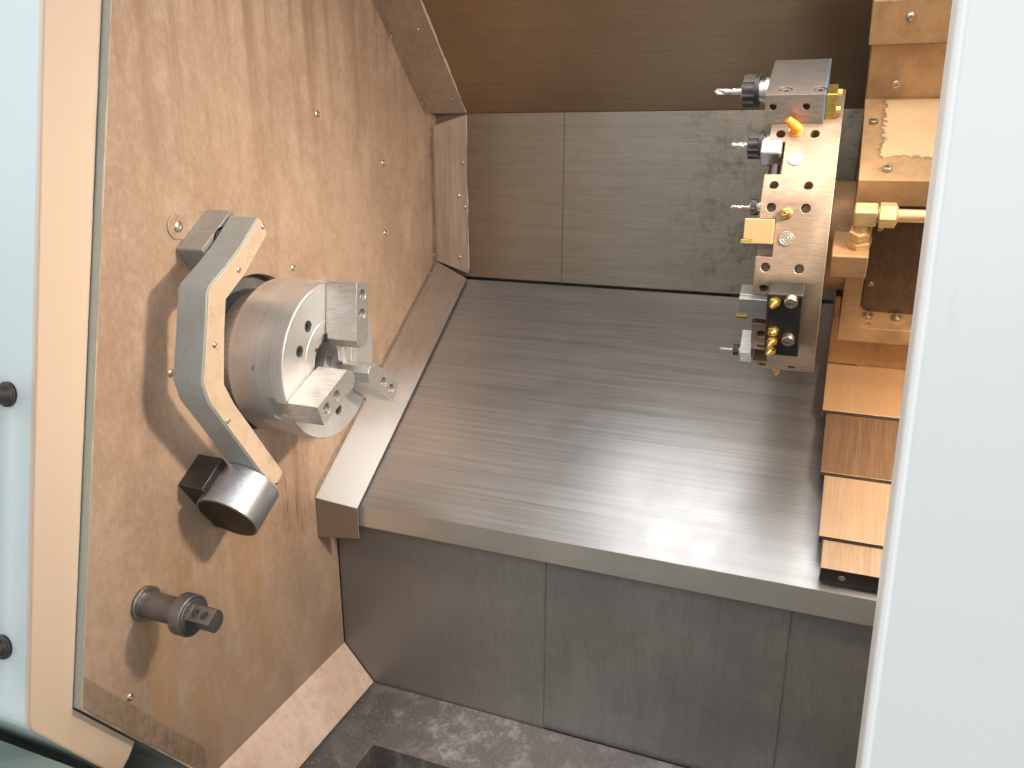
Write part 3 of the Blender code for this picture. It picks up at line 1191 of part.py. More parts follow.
def front_panels():
    """Fixed sheets of the front: left one behind the open door, right one, and the head."""
    top = TOP_REACH - ROOF_THICKNESS - FIT
    x0 = -LEFT_REACH + END_SHEET + FIT
    x1 = WALL_FACE - WALL_THICKNESS - FIT
    line = [(wall_front(top), top), (WALL_CORNER_Y, -WALL_CORNER_DROP), (WALL_FOOT_Y, -WALL_FOOT_DROP),
            (WALL_FOOT_Y, BASE_TOP + FIT)]
    inner = [(y + SHEET, z) for y, z in reversed(line)]
    add_object("front_left_panel", side_prism(line + inner, x0, x1), "white_paint")
    right = RIGHT_REACH - END_SHEET - FIT
    sill = SILL_TOP + FIT
    face = [(door_front(TOP_REACH), TOP_REACH), (door_front(-DOOR_CORNER_DROP), -DOOR_CORNER_DROP),
            (door_front(-DOOR_CORNER_DROP), sill), (door_front(-DOOR_CORNER_DROP) + PANEL_THICKNESS / 2, sill),
            (door_front(-DOOR_CORNER_DROP) + PANEL_THICKNESS, -DOOR_CORNER_DROP),
            (door_front(TOP_REACH) + PANEL_THICKNESS, TOP_REACH)]
    bm = side_prism(face, PANEL_LEFT, right)

    def left_edge(edge):
        return all(abs(v.co.x - PANEL_LEFT) < FIT and v.co.y < door_front(v.co.z) + FIT for v in edge.verts)
    bevel_mesh(bm, PANEL_BEVEL, left_edge)
    add_object("front_right_panel", bm, "white_paint")
    head = [(door_front(TOP_REACH), TOP_REACH), (door_front(PANEL_HEAD), PANEL_HEAD),
            (door_front(PANEL_HEAD) + PANEL_THICKNESS, PANEL_HEAD),
            (door_front(TOP_REACH) + PANEL_THICKNESS, TOP_REACH)]
    add_object("front_head_panel", side_prism(head, x0, PANEL_LEFT - FIT), "white_paint")
    rail_low = PANEL_HEAD - FIT - RAIL_HEIGHT
    y = door_front(DOOR_TOP) + (DOOR_THICKNESS - RAIL_WIDTH) / 2
    rail = [(y, rail_low), (y, rail_low + RAIL_HEIGHT), (y + RAIL_WIDTH, rail_low + RAIL_HEIGHT),
            (y + RAIL_WIDTH, rail_low)]
    add_object("door_rail", side_prism(rail, x0, PANEL_LEFT - FIT), "machined_steel")


def enclosure():
    """End covers, roof and rear cover."""
    top = TOP_REACH
    bottom = BASE_TOP + FIT
    slack = FIT / sin(APRON_ANGLE)
    low_z = SILL_TOP + FIT
    nose = door_front(-DOOR_CORNER_DROP)
    outline = [(door_front(top), top), (nose, -DOOR_CORNER_DROP), (nose, low_z),
               (apron_y(SILL_TOP) + slack, low_z), (apron_y(BASE_TOP) + slack, bottom),
               (WALL_BACK + WALL_ROOM, bottom), (WALL_BACK + WALL_ROOM, top)]
    add_object("left_end_cover", side_prism(outline, -LEFT_REACH, -LEFT_REACH + END_SHEET), "white_paint")
    add_object("right_end_cover", side_prism(outline, RIGHT_REACH - END_SHEET, RIGHT_REACH), "white_paint")
    y0 = door_front(top) + PANEL_THICKNESS + FIT
    y1 = WALL_BACK + WALL_ROOM
    low = top - ROOF_THICKNESS
    y_low = door_front(low) + PANEL_THICKNESS + FIT
    roof = [(y_low, low), (y0, top), (y1, top), (y1, low)]
    add_object("roof", side_prism(roof, -LEFT_REACH + END_SHEET + FIT, RIGHT_REACH - END_SHEET - FIT),
               "white_paint")
    back_y = WALL_BACK + WALL_ROOM + FIT
    rear = [(back_y, bottom), (back_y, top), (BACK_REACH, top), (BACK_REACH, bottom)]
    cover = add_object("rear_cover", side_prism(rear, -LEFT_REACH, RIGHT_REACH), "white_paint")
    bevel(cover, PANEL_BEVEL)


def knob_spot(order):
    """Places of the stop button and the handwheel on the control panel."""
    x = CONTROL_LEFT + SCREEN_INSET + STOP_RADIUS + order * KNOB_SPREAD
    z = CONTROL_LOW + SCREEN_INSET + WHEEL_RADIUS
    return Vector((x, door_front(z), z)) + FACE_NORMAL * CONTROL_DEPTH


def control_panel():
    box = leaning_box(CONTROL_LEFT, CONTROL_RIGHT, CONTROL_LOW, CONTROL_HIGH, FIT, CONTROL_DEPTH)
    panel = add_object("control_panel", bevel_mesh(box, PANEL_BEVEL, runs_along(FACE_NORMAL)), "grey_paint")
    screen_low = CONTROL_HIGH - SCREEN_INSET - SCREEN_HEIGHT
    cut(panel, leaning_box(CONTROL_LEFT + SCREEN_INSET, CONTROL_RIGHT - SCREEN_INSET, screen_low,
                           CONTROL_HIGH - SCREEN_INSET, CONTROL_DEPTH - SCREEN_DEPTH, CONTROL_DEPTH + OVERRUN),
        "screen")
    stop, wheel = knob_spot(0), knob_spot(2)
    cut(panel, cylinder(stop, FACE_NORMAL, STOP_STEM + 2 * FIT, -STOP_HEIGHT, OVERRUN, 2 * SMALL_SIDES),
        "stop_hole")
    profile = [(-STOP_TRAVEL - STOP_STEM, 0), (-STOP_TRAVEL - STOP_STEM, STOP_STEM),
               (STOP_TRAVEL + FIT, STOP_STEM), (STOP_TRAVEL + FIT, STOP_RADIUS),
               (STOP_HEIGHT * 0.8, STOP_RADIUS), (STOP_HEIGHT, STOP_RADIUS * 0.6), (STOP_HEIGHT, 0)]
    add_object("stop_button", turned(profile, stop, FACE_NORMAL, SMALL_SIDES * 2), "red_plastic", smooth=True)
    profile = [(FIT, 0), (FIT, WHEEL_RADIUS), (WHEEL_HEIGHT * 0.8, WHEEL_RADIUS),
               (WHEEL_HEIGHT, WHEEL_RADIUS * 0.9), (WHEEL_HEIGHT, 0)]
    add_object("handwheel", turned(profile, wheel, FACE_NORMAL, SMALL_SIDES * 2), "black_oxide", smooth=True)


def set_joint_origins():
    """Origins of the moving pieces go on their joints' axes."""
    spots = {"turret_disc": TURRET_CENTRE, "setter_drum": ARM_PIVOT, "stop_button": knob_spot(0),
             "handwheel": knob_spot(2)}
    for name, point in spots.items():
        move_origin(bpy.data.objects[name], point)


def place_all():
    """Centre the machine's footprint on the origin, with its feet on the floor."""
    shift = Vector(((LEFT_REACH - RIGHT_REACH) / 2, (FRONT_REACH - BACK_REACH) / 2, SPINDLE_HEIGHT))
    for obj in bpy.data.objects:
        obj.location += shift


def build():
    clear_scene()
    base()
    chip_pan()
    bed()
    chamber_walls()
    bed_cover()
    skirts()
    back_panels()
    trims()
    headstock()
    spindle_motor()
    spindle()
    chuck()
    jaws()
    saddle()
    cross_slide()
    way_covers()
    turret_housing()
    motor_cover()
    coolant_block()
    turret_disc()
    turret_tools()
    setter_arm()
    setter_drum()
    probe_park()
    wall_stub()
    door()
    door_handle()
    front_panels()
    enclosure()
    control_panel()
    set_joint_origins()
    place_all()


build()
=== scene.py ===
# %% [markdown]
# # Dressing a CNC turning lathe
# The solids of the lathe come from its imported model: every sheet, casting and tool is already in
# its place. This lesson adds what a solid can't carry: the film of dried coolant on the walls, the
# brushed sheets, turning marks, screws, rivets, nozzles and drills. It works cell by cell.

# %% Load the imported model
import bmesh
import bpy
from math import cos, pi, radians, sin
from mathutils import Matrix, Vector
from random import Random


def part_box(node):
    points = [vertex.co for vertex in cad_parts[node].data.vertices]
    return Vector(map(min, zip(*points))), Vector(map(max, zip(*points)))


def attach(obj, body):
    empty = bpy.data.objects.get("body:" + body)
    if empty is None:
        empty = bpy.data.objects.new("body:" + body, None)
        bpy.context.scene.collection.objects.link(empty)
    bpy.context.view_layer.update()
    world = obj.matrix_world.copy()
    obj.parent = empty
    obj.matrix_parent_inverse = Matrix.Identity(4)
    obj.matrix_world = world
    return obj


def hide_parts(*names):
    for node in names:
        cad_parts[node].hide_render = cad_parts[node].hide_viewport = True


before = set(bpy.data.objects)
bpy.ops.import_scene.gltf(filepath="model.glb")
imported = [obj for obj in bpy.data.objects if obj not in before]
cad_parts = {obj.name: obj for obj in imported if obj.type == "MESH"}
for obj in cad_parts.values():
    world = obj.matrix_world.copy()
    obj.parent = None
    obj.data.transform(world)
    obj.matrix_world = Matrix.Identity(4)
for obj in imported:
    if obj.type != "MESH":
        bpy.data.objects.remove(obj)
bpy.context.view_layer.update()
scene = bpy.context.scene

# %% [markdown]
# All the drawing is done from one handy zero: the centre of the chuck's front face, which is where
# a turner measures from too. x runs along the spindle away from the headstock, y into the machine,
# z up. The chuck's own box says where that point is in the world.

# %% The zero point
chuck_low, chuck_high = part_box("chuck_body")
HOME = Vector((chuck_high.x, (chuck_low.y + chuck_high.y) / 2, (chuck_low.z + chuck_high.z) / 2))
X, Y, Z = Vector((1, 0, 0)), Vector((0, 1, 0)), Vector((0, 0, 1))
SLOPE = radians(30)
UP = Vector((0, cos(SLOPE), sin(SLOPE)))
OFF = Vector((0, -sin(SLOPE), cos(SLOPE)))
LEAN = 0.2153
SHARP = radians(32)
FACE_OUT = Vector((0, -1, LEAN)).normalized()
FACE_UP = Vector((0, LEAN, 1)).normalized()
print("zero at", [round(c, 4) for c in HOME])

# %% [markdown]
# ## Camera and light
# The camera stands where the photographer stood: chest high in front of the open door, turned to
# the left and tipped down. A real scene could use a tracked empty for this; three plain angles are
# easier to read and to correct.

# %% The camera
lens = bpy.data.cameras.new("camera")
lens.lens, lens.sensor_width = 28.063, 36.0
camera = bpy.data.objects.new("camera", lens)
sight, down = Vector((-0.35170, 0.89008, -0.28995)), Vector((0.10750, -0.26929, -0.95704))
turn = Matrix((down.cross(sight), -down, -sight)).transposed()
camera.matrix_world = Matrix.Translation(HOME + Vector((0.7297, -1.0519, 0.3383))) @ turn.to_4x4()
scene.collection.objects.link(camera)
scene.camera = camera
scene.view_settings.view_transform = "Standard"

# %% [markdown]
# Sheet metal shows its lamps, so soft wide lamps are half of the look. Big lamps stand over the
# operator's shoulder, to the left and behind. Inside the chamber a small warm one plays the work light
# that throws the arm's shadow on the wall, a wide one hangs under the roof, and two warm ones reach the
# turret and the way covers. The sky fills in.


# %% The lamps
def lamp(name, place, target, size, power, colour=(1, 1, 1), beam=180):
    light = bpy.data.lights.new(name, "AREA")
    light.shape, light.size, light.size_y = "RECTANGLE", size[0], size[1]
    light.spread = radians(beam)
    light.energy, light.color = power, colour
    obj = bpy.data.objects.new(name, light)
    obj.location = HOME + Vector(place)
    obj.rotation_euler = (Vector(target) - Vector(place)).to_track_quat("-Z", "Y").to_euler()
    scene.collection.objects.link(obj)
    return obj


lamp("front_lamp", (1.3, -2.6, 1.7), (0.2, 0, -0.1), (2.4, 1.6), 52, (0.93, 0.97, 1.0))
lamp("left_lamp", (-2.4, -2.4, 1.6), (0.0, 0, 0.0), (1.8, 1.8), 26, (0.93, 0.97, 1.0))
lamp("back_lamp", (0.4, 3.6, 2.2), (0.2, 0.6, 0), (2.5, 2.0), 60)
lamp("work_light", (1.06, -0.09, 0.50), (-0.10, 0.05, -0.05), (0.12, 0.07), 3.6, (1.0, 0.83, 0.64), 80)
lamp("chamber_light", (0.60, 0.05, 0.77), (0.52, 0.05, -0.2), (0.34, 0.80), 5.5, (1.0, 0.98, 0.95))
lamp("slide_light", (1.00, -0.20, 0.48), (0.93, 0.22, 0.02), (0.16, 0.08), 1.05, (1.0, 0.78, 0.54))
lamp("cover_light", (1.04, -0.20, 0.26), (0.95, 0.36, -0.16), (0.10, 0.08), 1.15, (1.0, 0.78, 0.54), 56)


# %% [markdown]
# ## Shader sums written as Python
# A finish is a chain of nodes, but a chain is hard to read. So one small class wraps a node's output
# and adds the operators: 1 - mask makes a Math node by itself. Colours never go through Math nodes,
# which would turn them grey.


# %% A wrapped socket
class Value:
    """One output of a node in a finish."""

    def __init__(self, finish, socket):
        self.finish, self.socket = finish, socket

    def math(self, how, first, second=0.0):
        return self.finish.node("ShaderNodeMath", {"operation": how}, {0: first, 1: second})

    def __add__(self, other):
        return self.math("ADD", self, other)

    def __radd__(self, other):
        return self.math("ADD", other, self)

    def __sub__(self, other):
        return self.math("SUBTRACT", self, other)

    def __rsub__(self, other):
        return self.math("SUBTRACT", other, self)

    def __mul__(self, other):
        return self.math("MULTIPLY", self, other)

    def __rmul__(self, other):
        return self.math("MULTIPLY", other, self)


# %% A finish
def rgba(value):
    """Three numbers as a colour."""
    return (*value, 1.0) if isinstance(value, tuple) and len(value) == 3 else value


class Finish:
    """A Principled material, with one method that adds any node."""

    def __init__(self, name, material=None, **sockets):
        self.material = material or bpy.data.materials.new(name)
        self.material.use_nodes = True
        self.tree = self.material.node_tree
        self.shader = self.tree.nodes["Principled BSDF"]
        self.feed(self.shader, {key.replace("_", " "): value for key, value in sockets.items()})
        self.known = {}

    def feed(self, node, sockets):
        for key, value in sockets.items():
            socket = node.inputs[key]
            if isinstance(value, Value):
                self.tree.links.new(value.socket, socket)
            else:
                socket.default_value = rgba(value) if socket.type == "RGBA" else value

    def node(self, kind, settings=None, sockets=None, out=0):
        node = self.tree.nodes.new(kind)
        for key, value in (settings or {}).items():
            setattr(node, key, value)
        self.feed(node, sockets or {})
        return Value(self, node.outputs[out])

    def place(self):
        """Where a point is, from the chuck's face, in metres."""
        if "place" not in self.known:
            coords = self.node("ShaderNodeTexCoord", out=3)
            self.known["place"] = self.node("ShaderNodeVectorMath", {"operation": "SUBTRACT"},
                                            {0: coords, 1: HOME})
        return self.known["place"]

    def along(self, axis):
        """Distance along an axis, such as up the slope of the bed."""
        key = tuple(axis)
        if key not in self.known:
            self.known[key] = self.node("ShaderNodeVectorMath", {"operation": "DOT_PRODUCT"},
                                        {0: self.place(), 1: axis}, out=1)
        return self.known[key]

    def rise(self, value, low, high):
        """0 below low, 1 above high, smooth between; the other way round if low is above high."""
        return self.node("ShaderNodeMapRange", {"interpolation_type": "SMOOTHSTEP"},
                         {0: value, 1: low, 2: high})

    def between(self, value, low, high, soft):
        return self.rise(value, low - soft, low + soft) * self.rise(value, high + soft, high - soft)

    def cloud(self, scale, detail=4.0, rough=0.55, stretch=(1, 1, 1), shift=0.0):
        """Noise; a stretch above 1 makes it finer along that axis."""
        at = self.node("ShaderNodeVectorMath", {"operation": "MULTIPLY_ADD"},
                       {0: self.place(), 1: stretch, 2: (shift, shift, shift)})
        return self.node("ShaderNodeTexNoise", None,
                         {"Vector": at, "Scale": scale, "Detail": detail, "Roughness": rough})

    def dots(self, scale, size, stretch=(1, 1, 1), shift=0.0):
        """Scattered specks: 1 inside a speck."""
        at = self.node("ShaderNodeVectorMath", {"operation": "MULTIPLY_ADD"},
                       {0: self.place(), 1: stretch, 2: (shift, shift, shift)})
        cells = self.node("ShaderNodeTexVoronoi", None, {"Vector": at, "Scale": scale})
        return self.rise(cells, size, size * 0.6)

    def mix(self, mask, first, second, how="MIX"):
        return self.node("ShaderNodeMix", {"data_type": "RGBA", "blend_type": how},
                         {0: mask, 6: first, 7: second}, out=2)

    def rounded(self, radius=0.002):
        """The normal that a small rounding would give a sharp edge; made once, since it traces rays."""
        if "rounded" not in self.known:
            self.known["rounded"] = self.node("ShaderNodeBevel", {"samples": 2}, {"Radius": radius})
        return self.known["rounded"]

    def edges(self, radius):
        """1 on edges, 0 on flats: where the rounded normal leaves the true one."""
        flat = self.node("ShaderNodeNewGeometry", out=1)
        same = self.node("ShaderNodeVectorMath", {"operation": "DOT_PRODUCT"},
                         {0: self.rounded(radius), 1: flat}, out=1)
        return self.rise(same, 0.985, 0.88)

    def facing(self, direction, low=0.55, high=0.80):
        """1 where a face looks along a direction."""
        way = self.node("ShaderNodeNewGeometry", out=1)
        along = self.node("ShaderNodeVectorMath", {"operation": "DOT_PRODUCT"}, {0: way, 1: direction}, out=1)
        return self.rise(along, low, high)

    def finish(self, colour, height=None, strength=0.3, depth=0.001, soft=False, **sockets):
        """Join colour, relief and the rest to the shader; soft edges share the edge wear's rounding."""
        self.feed(self.shader, {"Base Color": colour, **{k.replace("_", " "): v for k, v in sockets.items()}})
        base = self.rounded() if soft else None
        if height is not None:
            inputs = {"Height": height, "Strength": strength, "Distance": depth}
            if base is not None:
                inputs["Normal"] = base
            base = self.node("ShaderNodeBump", None, inputs)
        if base is not None:
            self.feed(self.shader, {"Normal": base})
        return self.material


# %% [markdown]
# ## Floor and sky
# A plain pale floor keeps the eye on the machine. It is a slightly mottled sheet rather than a flat
# colour, and the sky is grey for the lamps' sake but shows itself pale to the camera.

# %% Floor and sky
floor_mesh = bmesh.new()
bmesh.ops.create_grid(floor_mesh, x_segments=8, y_segments=8, size=9.0)
floor_data = bpy.data.meshes.new("floor")
floor_mesh.to_mesh(floor_data)
floor_mesh.free()
floor = bpy.data.objects.new("floor", floor_data)
scene.collection.objects.link(floor)
paint = Finish("floor_paint", Roughness=0.7)
speckle = paint.cloud(3.0, 8.0, 0.6)
floor_data.materials.append(paint.finish(paint.mix(speckle, (0.72, 0.72, 0.71), (0.80, 0.80, 0.79)), speckle, 0.1))
world = bpy.data.worlds.new("sky")
scene.world = world
world.use_nodes = True
sky_nodes, sky_links = world.node_tree.nodes, world.node_tree.links
sky = sky_nodes["Background"]
rays = sky_nodes.new("ShaderNodeLightPath")
kinds = ["Is Camera Ray", "Is Glossy Ray", "Is Transmission Ray"]
shown = rays.outputs[kinds[0]]
for kind in kinds[1:]:
    either = sky_nodes.new("ShaderNodeMath")
    either.operation = "MAXIMUM"
    sky_links.new(shown, either.inputs[0])
    sky_links.new(rays.outputs[kind], either.inputs[1])
    shown = either.outputs[0]
level = sky_nodes.new("ShaderNodeMath")
level.operation = "MULTIPLY_ADD"
sky_links.new(shown, level.inputs[0])
level.inputs[1].default_value, level.inputs[2].default_value = 0.45, 0.42
sky_links.new(level.outputs[0], sky.inputs["Strength"])
sky.inputs["Color"].default_value = (0.93, 0.96, 1.0, 1.0)

# %% [markdown]
# ## Shapes
# Pieces are drawn as small meshes. Three shapes make nearly all of them: a box in any frame, a
# prism of an outline, and a turned profile. A ring of a turned profile can also be hexagonal, which
# is all that a socket screw needs.


# %% Boxes and prisms
def block(low, high, axes=(X, Y, Z), origin=Vector()):
    bm = bmesh.new()
    bmesh.ops.create_cube(bm, size=1.0)
    for vert in bm.verts:
        part = [low[i] + (vert.co[i] + 0.5) * (high[i] - low[i]) for i in range(3)]
        vert.co = origin + axes[0] * part[0] + axes[1] * part[1] + axes[2] * part[2]
    bmesh.ops.recalc_face_normals(bm, faces=bm.faces)
    return bm


def prism(points, direction):
    bm = bmesh.new()
    face = bm.faces.new([bm.verts.new(p) for p in points])
    top = bmesh.ops.extrude_face_region(bm, geom=[face])
    bmesh.ops.translate(bm, verts=[v for v in top["geom"] if isinstance(v, bmesh.types.BMVert)], vec=direction)
    bmesh.ops.recalc_face_normals(bm, faces=bm.faces)
    return bm


def slope_block(x0, x1, a0, a1, b0, b1):
    """Box in the frame of the slant bed."""
    return block((x0, a0, b0), (x1, a1, b1), (X, UP, OFF))


def slope_point(x, a, b):
    return X * x + UP * a + OFF * b


# %% Rings of points
def ring_of(bm, centre, axis, sides, size, twist=0.0):
    """Points round an axis; size gives the radius for an angle."""
    across = axis.orthogonal().normalized()
    other = axis.cross(across)
    points = []
    for i in range(sides):
        angle = 2 * pi * i / sides
        radius, turn = size(angle), angle + twist
        points.append(bm.verts.new(centre + across * (radius * cos(turn)) + other * (radius * sin(turn))))
    return points


def skin(bm, rings, closed=False):
    """Faces from ring to ring, with a lid on both ends unless the rings close on themselves."""
    count = len(rings[0])
    for one, two in zip(rings, rings[1:] + (rings[:1] if closed else [])):
        for i in range(count):
            bm.faces.new((one[i], one[(i + 1) % count], two[(i + 1) % count], two[i]))
    if not closed:
        bm.faces.new(rings[0])
        bm.faces.new(rings[-1])
    bmesh.ops.recalc_face_normals(bm, faces=bm.faces)
    return bm


# %% Turned shapes
def hexagon(radius):
    """The radius of a hexagon, by angle, whose flats are that far out."""
    return lambda angle: radius / cos((angle + pi / 6) % (pi / 3) - pi / 6)


def turned(profile, origin=Vector(), axis=X, sides=48):
    """Closed solid of (along, radius) points, a third word "hex" makes that ring hexagonal."""
    bm = bmesh.new()
    rings = []
    for along, radius, *form in profile:
        centre = origin + axis * along
        size = hexagon(radius) if form else lambda angle, r=radius: r
        rings.append(ring_of(bm, centre, axis, sides, size) if radius > 0 else [bm.verts.new(centre)])
    loops = list(zip(rings, rings[1:]))
    if len(rings[0]) > 1:
        loops.append((rings[-1], rings[0]))
    for one, two in loops:
        for i in range(sides):
            j = (i + 1) % sides
            corners = [one[i % len(one)], one[j % len(one)], two[j % len(two)], two[i % len(two)]]
            corners = list(dict.fromkeys(corners))
            if len(corners) > 2:
                bm.faces.new(corners)
    bmesh.ops.recalc_face_normals(bm, faces=bm.faces)
    return bm


def rod(start, end, radius, sides=24, edge=0.0):
    axis = end - start
    edge = edge or radius * 0.06
    size = axis.length
    return turned([(0, 0), (0, radius - edge), (edge, radius), (size - edge, radius), (size, radius - edge),
                   (size, 0)], start, axis.normalized(), sides)


def joined(*shapes):
    total = bmesh.new()
    for bm in shapes:
        held = bpy.data.meshes.new("held")
        bm.to_mesh(held)
        bm.free()
        total.from_mesh(held)
        bpy.data.meshes.remove(held)
    return total


# %% [markdown]
# Holes and slots are cut with the Boolean modifier, the same as one would by hand. The result is
# read back at once, so no cutter stays in the scene.


# %% Cutting
def as_object(name, bm):
    data = bpy.data.meshes.new(name)
    bm.to_mesh(data)
    bm.free()
    obj = bpy.data.objects.new(name, data)
    scene.collection.objects.link(obj)
    return obj


def carve(bm, cutter):
    """The first shape without the second."""
    target, tool = as_object("target", bm), as_object("tool", cutter)
    step = target.modifiers.new("cut", "BOOLEAN")
    step.operation, step.solver, step.object = "DIFFERENCE", "EXACT", tool
    ready = target.evaluated_get(bpy.context.evaluated_depsgraph_get())
    result = bmesh.new()
    result.from_mesh(ready.to_mesh())
    ready.to_mesh_clear()
    for obj in (target, tool):
        data = obj.data
        bpy.data.objects.remove(obj)
        bpy.data.meshes.remove(data)
    bmesh.ops.remove_doubles(result, verts=result.verts, dist=1e-6)
    return result


def piece(name, bm, finish, body, stands_for=(), rounded=0.0, segments=2):
    """Put a shape in the scene: smooth, with softly rounded edges, riding on a body."""
    bmesh.ops.translate(bm, verts=bm.verts, vec=HOME)
    obj = as_object(name, bm)
    obj.data.materials.append(finish)
    obj.data.shade_smooth()
    if rounded:
        edge = obj.modifiers.new("rounded_edges", "BEVEL")
        edge.width, edge.segments, edge.limit_method, edge.angle_limit = rounded, segments, "ANGLE", SHARP
        edge.harden_normals = True
    else:
        obj.data.set_sharp_from_angle(angle=SHARP)
    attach(obj, body)
    if stands_for:
        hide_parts(*stands_for)
    return obj


def dress(finish, *nodes):
    """Give solids of the model a finish."""
    for node in nodes:
        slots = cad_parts[node].material_slots
        for place in slots:
            place.material = finish


# %% [markdown]
# ## The stained bulkhead
# The left wall is a painted steel plate under years of dried coolant: tan film, painted warm lamp light
# in an orange wash low on its front half, streaks that ran down, rust below the chuck, and a foot that is
# darker and greyer. One could paint a texture by hand. Layers of stretched noise, each masked by its
# place, give the same and stay sharp at any distance.


# %% Finish of the bulkhead
def film(name, light, dark, grey, streak=0.5, metal=0.25, rough=0.42, foot=True):
    wall = Finish(name, Metallic=metal)
    y, z = wall.along(Y), wall.along(Z)
    patches = wall.rise(wall.cloud(5.5, 5.0, 0.62, (1, 1, 0.55), 3.1), 0.38, 0.66)
    runs = wall.rise(wall.cloud(60.0, 4.0, 0.65, (1, 1, 0.06), 1.7), 0.50, 0.74)
    runs = runs * wall.rise(wall.cloud(6.0, 2.0, 0.6, (1, 1, 1), 4.9), 0.40, 0.62)
    fine = wall.cloud(150.0, 4.0, 0.75, (1, 1, 0.55), 8.2)
    grain = wall.cloud(650.0, 2.0, 0.5, (1, 1, 1), 2.0)
    colour = wall.mix(patches, light, dark)
    colour = wall.mix(runs * streak, colour, grey)
    colour = wall.mix(wall.rise(fine, 0.35, 0.70) * 0.30, colour, (0.63, 0.48, 0.35))
    mottle = wall.rise(wall.cloud(38.0, 5.0, 0.75, (1, 1, 0.8), 11.0), 0.46, 0.60)
    colour = wall.mix(mottle * 0.22, colour, (0.33, 0.19, 0.11))
    bloom = wall.rise(wall.cloud(13.0, 5.0, 0.7, (1, 1, 0.6), 7.4), 0.50, 0.72)
    colour = wall.mix(bloom * 0.35, colour, (0.66, 0.50, 0.37))
    if foot:
        # Darker and greyer towards the foot.
        low = wall.rise(z, -0.30, -0.62)
        colour = wall.mix(low * (0.30 + patches * 0.3), colour, (0.29, 0.225, 0.18))
        head = wall.rise(wall.cloud(24.0, 4.0, 0.65, (1, 1, 0.045), 6.1), 0.46, 0.64) * wall.rise(z, 0.12, 0.62)
        colour = wall.mix(head * 0.6, colour, (0.26, 0.145, 0.075))
        spot = wall.between(y, 0.00, 0.10, 0.03) * wall.between(z, -0.36, -0.19, 0.03)
        rust = wall.rise(wall.cloud(60.0, 5.0, 0.7, (1, 1, 0.10), 5.5), 0.50, 0.66) * spot
        # An orange wash low on the plate's front half: painted warm lamp light.
        warm_light_area = wall.between(y, -0.36, -0.02, 0.05) * wall.between(z, -0.62, -0.24, 0.08)
        painted_warm_light = wall.rise(wall.cloud(17.0, 4.0, 0.7, (1, 1, 0.16), 9.9), 0.45, 0.60) * warm_light_area
        colour = wall.mix(painted_warm_light * 0.5, colour, (0.44, 0.25, 0.115))
        colour = wall.mix(rust * 0.8, colour, (0.22, 0.095, 0.035))
    specks = wall.dots(70.0, 0.05, (1, 1, 1), 4.0)
    colour = wall.mix(specks * 0.5, colour, (0.10, 0.06, 0.04))
    flecks = wall.dots(46.0, 0.035, (1, 1, 1), 12.0)
    colour = wall.mix(flecks * 0.6, colour, (0.78, 0.64, 0.50))
    worn = wall.edges(0.0025)
    if foot:
        front_edge = wall.facing(-Y, 0.5, 0.7)
        old_paint = wall.mix(fine, (0.42, 0.435, 0.38), (0.33, 0.35, 0.31))
        colour = wall.mix(front_edge, colour, old_paint)
    colour = wall.mix(worn * 0.6, colour, (0.74, 0.66, 0.54))
    gloss = rough + patches * 0.10 - runs * 0.08 + grain * 0.06
    return wall.finish(colour, patches * 0.25 + fine * 0.35 + grain * 0.3, 0.22, 0.0008, True, Roughness=gloss)


dress(film("stained_bulkhead", (0.51, 0.35, 0.245), (0.38, 0.25, 0.17), (0.40, 0.32, 0.25)), "headstock_wall")
print("bulkhead dressed")

# %% [markdown]
# ## Brushed sheets
# The deflectors, panels, bed cover and skirts are bare steel, brushed along their length. Brushing
# is a noise that is very fine across and very long along the grain. It moves colour, gloss and bump
# together, and bigger clouds on top are the coolant stains.


